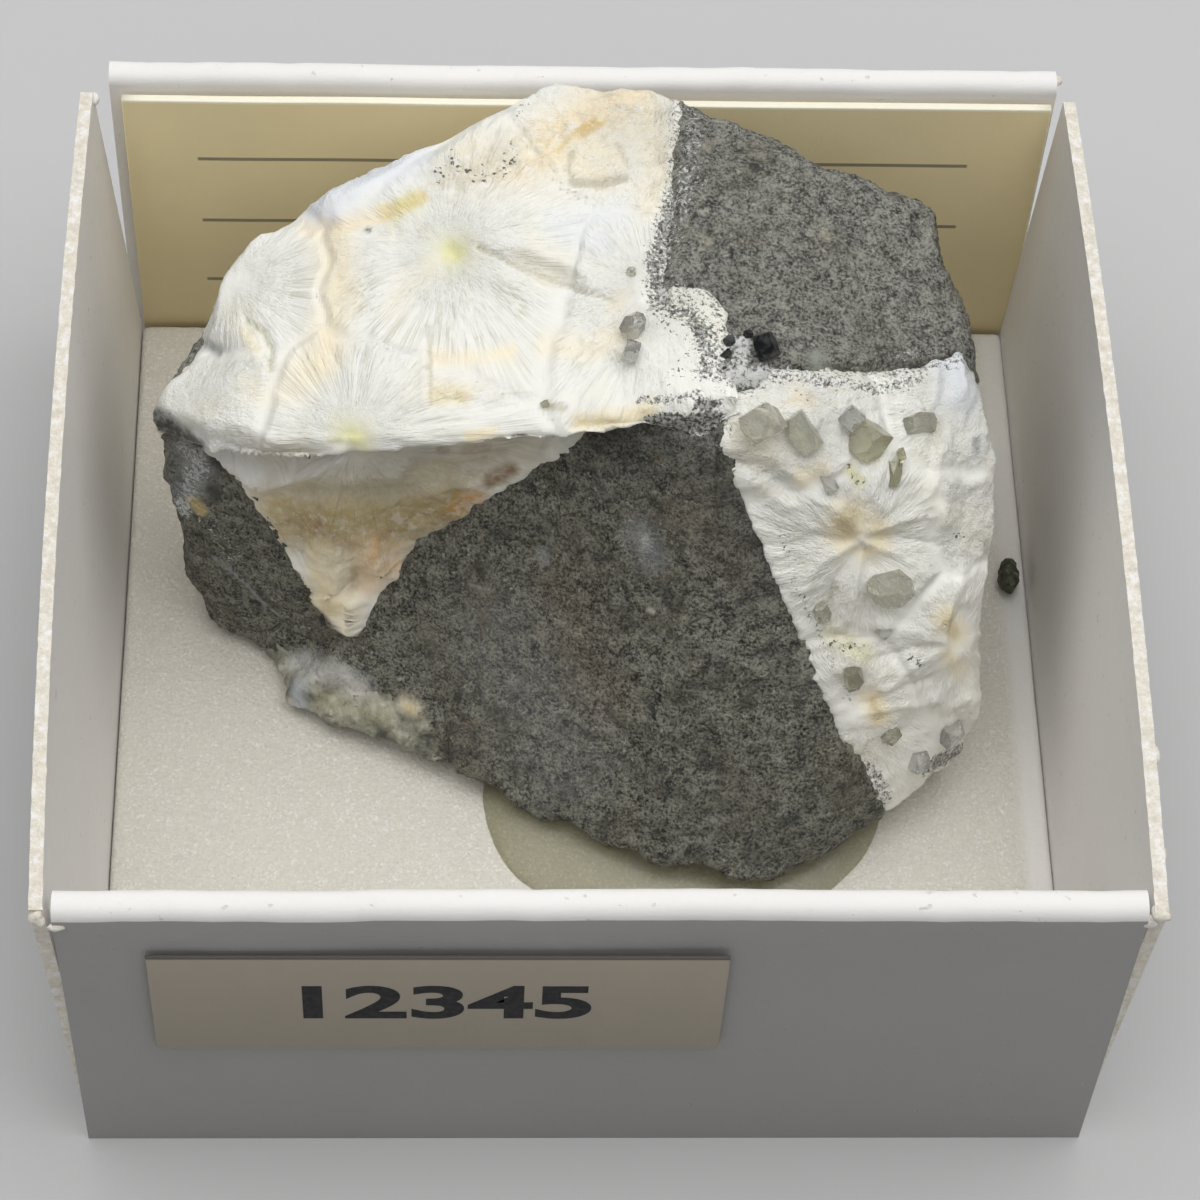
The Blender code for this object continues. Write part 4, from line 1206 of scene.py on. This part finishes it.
class SPECIMEN_OT_crumb(bpy.types.Operator):
    """Build the loose crumb of stone on the foam"""

    bl_idname = "specimen.crumb"
    bl_label = "Crumb"

    def execute(self, context):
        bm = even_mesh("stone_crumb", CRUMB_SPACING)
        points, outward = places(bm), normals(bm)
        raised(bm, points, outward, layered(points, (0.13, 1.8, 61), (0.08, 4.5, 62)))
        mesh = finished_mesh("stone_crumb", bm)
        add_piece("crumb_finished", mesh, [crumb_look()], "basalt", "stone_crumb")
        return {"FINISHED"}


# The tray and what lies in it.

# The tray's sizes and places in millimetres.
FLOOR_HALF_WIDTH = 19.35
FLOOR_HALF_DEPTH = 19.6
CARD_THICKNESS = 0.5
FOLDED_OUTSIDE = 20.0
FOLDED_THICKNESS = 1.2
FOLDED_HALF_LENGTH = 19.4
FOLDED_HEIGHT = 18.0
SIDE_HEIGHT = 17.75
SIDE_FRONT = -19.6
SIDE_BACK = 18.1
# How far each side wall leans out at its front and back end, and how much more in its middle.
SIDE_SPLAY = {"left": (0.85, 1.15), "right": (0.78, 0.75)}
SIDE_BELLY = 0.33
# Edges longer than these run along the tray, and up its walls or along the sticker.
LONG_EDGE = 30.0
TALL_EDGE = 10.0
# The tray's three materials, by their index.
CUT_EDGE = 1
# The walls' outer faces take a darker copy of the white card: painted shade.
SHADED_OUTSIDE = 2


def folded_wall(side):
    """The front (-1) or back (1) wall with its rounded rim, slightly uneven, in millimetres."""
    middle = TRAY_MIDDLE
    outer = side * FOLDED_OUTSIDE + middle.y
    inner = outer - side * FOLDED_THICKNESS
    bm = box_between((middle.x - FOLDED_HALF_LENGTH, min(outer, inner), 0.0),
                     (middle.x + FOLDED_HALF_LENGTH, max(outer, inner), FOLDED_HEIGHT))
    rim = [e for e in edges_along(bm, 0, LONG_EDGE) if min(v.co.z for v in e.verts) > FOLDED_HEIGHT - 0.1]
    round_edges(bm, rim, 0.5, 5)
    divide(bm, 0, LONG_EDGE, 47)
    divide(bm, 2, TALL_EDGE, 11)
    bm.normal_update()
    for face in bm.faces:
        if side * face.normal.y > 0.95 and face.calc_center_median().z < FOLDED_HEIGHT - 0.5:
            face.material_index = SHADED_OUTSIDE
    for vert in bm.verts:
        rise = vert.co.z / FOLDED_HEIGHT
        sway = wobble(vert.co.x * 0.12, side * 3.0, vert.co.z * 0.08)
        ripple = wobble(vert.co.x * 0.7, side * 9.0, vert.co.z * 0.5)
        vert.co.y += (0.12 * sway + 0.025 * ripple) * rise - side * 0.13 * rise
        vert.co.z += 0.05 * rise * ripple - 0.03 * rise
    return bm


def single_wall(name, side):
    """A side wall of single card, whose top is a rough cut edge."""
    splay_front, splay_back = SIDE_SPLAY[name]
    bm = box_between((0.0, SIDE_FRONT, 0.0), (CARD_THICKNESS, SIDE_BACK, SIDE_HEIGHT))
    divide(bm, 1, LONG_EDGE, 119)
    divide(bm, 2, TALL_EDGE, 13)
    bm.normal_update()
    for face in bm.faces:
        if face.normal.z > 0.9 or abs(face.normal.y) > 0.9:
            face.material_index = CUT_EDGE
        elif face.normal.x < -0.9:
            face.material_index = SHADED_OUTSIDE
    for vert in bm.verts:
        rise = vert.co.z / SIDE_HEIGHT
        along = (vert.co.y - SIDE_FRONT) / (SIDE_BACK - SIDE_FRONT)
        lean = splay_front + (splay_back - splay_front) * along + 4 * SIDE_BELLY * along * (1 - along)
        ragged = wobble(vert.co.y * 1.9, side * 5.0, vert.co.x * 2.0)
        ragged += 0.6 * wobble(vert.co.y * 4.5, side * 8.0, vert.co.x * 3.0)
        across = vert.co.x
        if rise > 0.99:
            vert.co.z += 0.06 * ragged
            across += 0.04 * ragged
        vert.co.x = side * (FLOOR_HALF_WIDTH + lean * rise - across) + TRAY_MIDDLE.x
        vert.co.y += TRAY_MIDDLE.y
    return bm


def fray(at, size, seed, flat):
    """A small torn tuft of card fibre."""
    bm = bmesh.new()
    place = Matrix.Translation(Vector(at) + TRAY_MIDDLE)
    bmesh.ops.create_icosphere(bm, subdivisions=3, radius=size,
                               matrix=place @ Matrix.Diagonal((*flat, 1.0)))
    for vert in bm.verts:
        swell = noise.noise(vert.co * 2.6 + Vector((seed * 3.0, 0.0, 0.0)))
        vert.co += (vert.co - place.translation) * 0.55 * swell
    for face in bm.faces:
        face.material_index = CUT_EDGE
    return bm


# Tufts: place and size in millimetres, a number for the shape, and how flat each one is along its axes.
FRAYS = (
    ((-19.9, -19.75, 17.5), 0.42, 1, (0.7, 0.8, 0.6)), ((-19.3, -19.95, 17.1), 0.36, 2, (1.1, 0.4, 0.5)),
    ((19.9, -19.6, 17.6), 0.45, 3, (0.8, 0.8, 0.6)), ((19.5, -19.7, 17.2), 0.35, 4, (0.9, 0.6, 0.7)),
    ((19.4, 19.4, 17.6), 0.4, 5, (0.7, 0.7, 0.6)), ((-20.0, 18.0, 17.4), 0.38, 6, (0.5, 0.8, 0.5)),
    ((-20.45, -0.3, 17.6), 0.3, 7, (0.5, 1.2, 0.5)), ((-20.35, -12.9, 17.6), 0.26, 8, (0.5, 1.2, 0.5)),
    ((20.35, -13.0, 17.6), 0.26, 9, (0.5, 1.3, 0.5)), ((20.2, -17.0, 17.5), 0.24, 10, (0.5, 1.3, 0.6)),
)


class SPECIMEN_OT_tray(bpy.types.Operator):
    """Build the card tray with its folded rims, raw cut edges and frayed corners"""

    bl_idname = "specimen.tray"
    bl_label = "Card tray"

    def execute(self, context):
        middle = TRAY_MIDDLE
        whole = box_between((middle.x - FLOOR_HALF_WIDTH, middle.y - FLOOR_HALF_DEPTH, 0.0),
                            (middle.x + FLOOR_HALF_WIDTH, middle.y + FLOOR_HALF_DEPTH, CARD_THICKNESS))
        for side in (-1, 1):
            join(whole, folded_wall(side))
        for name, side in (("left", -1), ("right", 1)):
            join(whole, single_wall(name, side))
        for place, size, seed, flat in FRAYS:
            join(whole, fray(place, size, seed, flat))
        mesh = finished_mesh("card_tray", whole)
        settings = tray_settings()
        # The third look is the white card made darker for the walls' outer faces: painted shade.
        looks = [card_look("White card", settings.card_colour), cut_edge_look(),
                 card_look("Outside card", settings.outside_shade_colour)]
        add_piece("card_tray_finished", mesh, looks, "white_card", "card_tray")
        mesh.set_sharp_from_angle(angle=math.radians(35))
        return {"FINISHED"}


# The foam pad's edges and faces, and the shallow dent under the stone, whose middle is in the frame.
FOAM_HALF_WIDTH = 18.95
FOAM_FRONT = -18.7
FOAM_BACK = 17.95
FOAM_UNDERSIDE = 0.6
FOAM_TOP = 2.5
DENT_MIDDLE = Vector((3.5, 1.0))
DENT_RADIUS = 9.0
DENT_DEPTH = 0.06


class SPECIMEN_OT_foam(bpy.types.Operator):
    """Build the foam pad that lines the tray"""

    bl_idname = "specimen.foam"
    bl_label = "Foam pad"

    def execute(self, context):
        middle = TRAY_MIDDLE
        bm = box_between((middle.x - FOAM_HALF_WIDTH, middle.y + FOAM_FRONT, FOAM_UNDERSIDE),
                         (middle.x + FOAM_HALF_WIDTH, middle.y + FOAM_BACK, FOAM_TOP))
        round_edges(bm, bm.edges[:], 0.3, 3)
        for axis in (0, 1):
            divide(bm, axis, LONG_EDGE, 99)
        for vert in bm.verts:
            if vert.co.z > (FOAM_UNDERSIDE + FOAM_TOP) / 2:
                swell = noise.noise(vert.co * 0.25) * 0.10 + noise.noise(vert.co * 1.6) * 0.03
                near = (vert.co.xy - DENT_MIDDLE).length
                vert.co.z += swell - DENT_DEPTH * math.exp(-(near / DENT_RADIUS) ** 2)
        mesh = finished_mesh("foam_pad", bm)
        piece = add_piece("foam_finished", mesh, [foam_look()], "foam", "foam_pad")
        return {"FINISHED"}


class SPECIMEN_OT_label(bpy.types.Operator):
    """Build the label card behind the stone"""

    bl_idname = "specimen.label"
    bl_label = "Label card"

    def execute(self, context):
        low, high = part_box("label_card")
        low, high = low / MM, high / MM
        bm = box_between((low.x + 0.1, low.y, low.z + 1.2), high)
        round_edges(bm, edges_along(bm, 0, LONG_EDGE) + edges_along(bm, 2, TALL_EDGE), 0.05, 2)
        divide(bm, 0, LONG_EDGE, 39)
        for vert in bm.verts:
            vert.co.y += 0.05 * wobble(vert.co.x * 0.15, 2.0, vert.co.z * 0.05)
        mesh = finished_mesh("label_card", bm)
        add_piece("label_finished", mesh, [label_look()], "cream_card", "label_card")
        return {"FINISHED"}


# The sticker's paper, how far it lies behind the front of its solid, and its digits, in millimetres.
PAPER_THICKNESS = 0.14
PAPER_INSET = 0.06
DIGIT_SIZE = 3.4
DIGIT_STRETCH = 1.35
INK_DEPTH = 0.012


class SPECIMEN_OT_sticker(bpy.types.Operator):
    """Build the paper sticker with plain numbers"""

    bl_idname = "specimen.sticker"
    bl_label = "Sticker"

    number: StringProperty(name="Number", description="Plain digits printed on the sticker",
                           default="12345")

    def execute(self, context):
        low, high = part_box("number_sticker")
        low, high = low / MM, high / MM
        bm = box_between(low, (high.x, low.y + PAPER_THICKNESS, high.z))
        round_edges(bm, bm.edges[:], 0.04, 2)
        divide(bm, 0, TALL_EDGE, 19)
        bmesh.ops.translate(bm, vec=(0.0, PAPER_INSET, 0.0), verts=bm.verts[:])
        mesh = finished_mesh("number_sticker", bm)
        add_piece("sticker_finished", mesh, [sticker_look()], "sticker_paper", "number_sticker")

        curve = bpy.data.curves.new("digits", "FONT")
        curve.body = self.number
        curve.size = DIGIT_SIZE
        curve.offset = 0.10
        curve.extrude = INK_DEPTH
        curve.align_x = "CENTER"
        curve.align_y = "CENTER"
        holder = bpy.data.objects.new("digits", curve)
        context.scene.collection.objects.link(holder)
        graph = context.evaluated_depsgraph_get()
        digits = bpy.data.meshes.new_from_object(holder.evaluated_get(graph))
        bpy.data.objects.remove(holder)
        text = bmesh.new()
        text.from_mesh(digits)
        bmesh.ops.remove_doubles(text, verts=text.verts[:], dist=0.0001)
        place = (Matrix.Translation(((low.x + high.x) / 2, low.y + PAPER_INSET, (low.z + high.z) / 2))
                 @ Matrix.Rotation(math.radians(90), 4, "X")
                 @ Matrix.Diagonal((DIGIT_STRETCH, 1.0, 1.0, 1.0)))
        bmesh.ops.transform(text, matrix=place, verts=text.verts[:])
        mesh = finished_mesh("digits", text)
        add_piece("sticker_digits", mesh, [ink_look()], "sticker_paper", smooth=False)
        return {"FINISHED"}


# The gel's flattened drop, in millimetres. It ends flat on the foam.
GEL_MIDDLE = Vector((4.0, -6.4, 2.3))
GEL_RADII = (8.2, 5.9, 1.25)
GEL_UNDERSIDE = 2.1


class SPECIMEN_OT_gel(bpy.types.Operator):
    """Build the blob of see-through mounting gel"""

    bl_idname = "specimen.gel"
    bl_label = "Mounting gel"

    def execute(self, context):
        bm = bmesh.new()
        middle = GEL_MIDDLE + TRAY_MIDDLE
        bmesh.ops.create_uvsphere(bm, u_segments=96, v_segments=40, radius=1.0,
                                  matrix=Matrix.Translation(middle) @ Matrix.Diagonal((*GEL_RADII, 1.0)))
        for vert in bm.verts:
            away = vert.co - middle
            swell = 1.0 + 0.05 * wobble(away.x * 0.25, away.y * 0.25, 0.0)
            vert.co = middle + Vector((away.x * swell, away.y * swell, away.z))
            vert.co.z = max(vert.co.z, GEL_UNDERSIDE)
        mesh = finished_mesh("mounting_gel", bm)
        add_piece("gel_finished", mesh, [gel_look()], "gel", "mounting_gel")
        return {"FINISHED"}


# Floor, lights and camera.

# In metres in the frame: the lights' places, by the start of their power's name, what they point at,
# and their width. The floor's size is half its width.
LIGHT_PLACES = {
    "top": (0.0, 0.0, 0.40), "back": (0.0, 0.328, 0.229), "right": (0.169, 0.0, 0.363),
    "left": (-0.169, 0.0, 0.363), "front": (0.0, -0.169, 0.363),
}
LIGHT_TARGET = Vector((0.0, 0.0, 0.012))
LIGHT_WIDTH = 0.40
FLOOR_SIZE = 1.5
# The width of the camera's sensor in millimetres, and the nearest distance that it sees in metres.
SENSOR_WIDTH = 36.0
NEAREST_SEEN = 0.005


def area_light(name, place, power):
    light = bpy.data.lights.new(name, "AREA")
    light.shape = "DISK"
    light.size = LIGHT_WIDTH
    light.energy = power
    lamp = bpy.data.objects.new(name, light)
    lamp.location = place
    lamp.rotation_euler = (LIGHT_TARGET - Vector(place)).to_track_quat("-Z", "Y").to_euler()
    bpy.context.scene.collection.objects.link(lamp)


class SPECIMEN_OT_stage(bpy.types.Operator):
    """Set up the pale floor, the soft lights and the camera"""

    bl_idname = "specimen.stage"
    bl_label = "Stage"

    def execute(self, context):
        settings = light_settings()
        bm = bmesh.new()
        bmesh.ops.create_grid(bm, x_segments=2, y_segments=2, size=FLOOR_SIZE)
        floor = bpy.data.objects.new("floor", as_mesh("floor", bm))
        look = Look("Pale floor")
        pale = settings.floor_colour
        colour = look.blend(look.grain(0.02, 2.0), pale, toned(pale, 0.98))
        floor.data.materials.append(look.finish(Base_Color=colour, Roughness=0.9))
        context.scene.collection.objects.link(floor)

        for name, place in LIGHT_PLACES.items():
            area_light(name, place, getattr(settings, name + "_power"))

        world = bpy.data.worlds.new("soft studio")
        world.use_nodes = True
        sky = world.node_tree.nodes["Background"]
        sky.inputs["Color"].default_value = (1.0, 1.0, 1.0, 1.0)
        sky.inputs["Strength"].default_value = settings.sky_strength
        context.scene.world = world

        camera = bpy.data.cameras.new("camera")
        camera.sensor_fit = "HORIZONTAL"
        camera.sensor_width = SENSOR_WIDTH
        camera.lens = settings.lens
        camera.clip_start = NEAREST_SEEN
        holder = bpy.data.objects.new("camera", camera)
        turned = Matrix((CAMERA_RIGHT, CAMERA_UP, -CAMERA_FORWARD)).transposed().to_4x4()
        place = (CAMERA_PLACE + TRAY_MIDDLE) * MM
        holder.matrix_world = Matrix.Translation(place) @ turned
        context.scene.collection.objects.link(holder)
        context.scene.camera = holder
        context.scene.view_settings.view_transform = "Standard"
        return {"FINISHED"}


# Settings and panel.

def colour_setting(name, description, default):
    return FloatVectorProperty(name=name, description=description, default=default, subtype="COLOR",
                               min=0.0, max=1.0)


def spacing_setting(name, description, default):
    return FloatProperty(name=name, description=description, default=default, min=0.0001, max=0.001,
                         precision=5, unit="LENGTH")


def power_setting(name, description, default):
    return FloatProperty(name=name, description=description, default=default, min=0.0, unit="POWER")


class StoneSettings(bpy.types.PropertyGroup):
    spacing: spacing_setting("Point spacing", "Spacing of the basalt's mesh points", 0.0002)
    vein_spacing: spacing_setting("Vein spacing", "Spacing of the veins' mesh points", 0.00014)
    basalt_colour: colour_setting("Basalt", "Colour of the dark broken faces", (0.112, 0.110, 0.089))
    pale_and_lit_top_colour: colour_setting("Pale basalt", "Colour of the top face", (0.185, 0.183, 0.158))
    # The top faces' colour is paler partly by the stone's own grey and partly as painted light from above.
    thomsonite_colour: colour_setting("Thomsonite", "Colour of the white needles", (0.885, 0.877, 0.82))


class TraySettings(bpy.types.PropertyGroup):
    card_colour: colour_setting("Card", "Colour of the tray's card", (0.87, 0.85, 0.83))
    # The outer faces' colour is a darker copy of the card: painted shade.
    outside_shade_colour: colour_setting("Outside", "Colour of the card's greyer outside", (0.365, 0.358, 0.350))
    cut_colour: colour_setting("Cut edge", "Colour of the card's raw cut edge", (0.78, 0.73, 0.63))
    foam_colour: colour_setting("Foam", "Colour of the foam pad", (0.88, 0.845, 0.75))
    label_colour: colour_setting("Label", "Colour of the label card", (0.90, 0.77, 0.46))
    sticker_colour: colour_setting("Sticker", "Colour of the sticker's paper", (0.39, 0.345, 0.275))


class LightSettings(bpy.types.PropertyGroup):
    top_power: power_setting("Top light", "Power of the light above", 0.29)
    back_power: power_setting("Back light", "Power of the light behind", 0.42)
    right_power: power_setting("Right light", "Power of the light on the right", 0.64)
    left_power: power_setting("Left light", "Power of the light on the left", 0.44)
    front_power: power_setting("Front light", "Power of the high light in front", 0.33)
    sky_strength: FloatProperty(name="Sky", description="Strength of the even light all round",
                                default=0.13, min=0.0)
    floor_colour: colour_setting("Floor", "Colour of the floor", (0.55, 0.55, 0.55))
    lens: FloatProperty(name="Lens", description="Focal length of the camera", default=113.32, min=10.0,
                        unit="CAMERA")


BUILD_STEPS = (
    SPECIMEN_OT_stage, SPECIMEN_OT_tray, SPECIMEN_OT_foam, SPECIMEN_OT_label, SPECIMEN_OT_sticker,
    SPECIMEN_OT_gel, SPECIMEN_OT_crumb, SPECIMEN_OT_basalt, SPECIMEN_OT_left_vein,
    SPECIMEN_OT_right_vein, SPECIMEN_OT_crust, SPECIMEN_OT_crystals,
)


class SPECIMEN_PT_panel(bpy.types.Panel):
    """The specimen's settings and building steps"""

    bl_idname = "SPECIMEN_PT_panel"
    bl_label = "Specimen"
    bl_space_type = "VIEW_3D"
    bl_region_type = "UI"
    bl_category = "Specimen"

    def draw(self, context):
        for title, settings in (("Stone", stone_settings()), ("Tray", tray_settings()),
                                ("Light", light_settings())):
            box = self.layout.box()
            box.label(text=title)
            for name in settings.__annotations__:
                box.prop(settings, name)
        for step in BUILD_STEPS:
            self.layout.operator(step.bl_idname)


CLASSES = (StoneSettings, TraySettings, LightSettings, *BUILD_STEPS, SPECIMEN_PT_panel)


def register():
    for made in CLASSES:
        bpy.utils.register_class(made)
    bpy.types.Scene.specimen_stone = PointerProperty(type=StoneSettings)
    bpy.types.Scene.specimen_tray = PointerProperty(type=TraySettings)
    bpy.types.Scene.specimen_light = PointerProperty(type=LightSettings)


def unregister():
    del bpy.types.Scene.specimen_light
    del bpy.types.Scene.specimen_tray
    del bpy.types.Scene.specimen_stone
    for made in reversed(CLASSES):
        bpy.utils.unregister_class(made)


def main():
    register()
    bpy.ops.specimen.stage()
    bpy.ops.specimen.tray()
    bpy.ops.specimen.foam()
    bpy.ops.specimen.label()
    bpy.ops.specimen.sticker()
    bpy.ops.specimen.gel()
    bpy.ops.specimen.crumb()
    bpy.ops.specimen.basalt()
    bpy.ops.specimen.left_vein()
    bpy.ops.specimen.right_vein()
    bpy.ops.specimen.crust()
    bpy.ops.specimen.crystals()


if __name__ == "__main__":
    main()
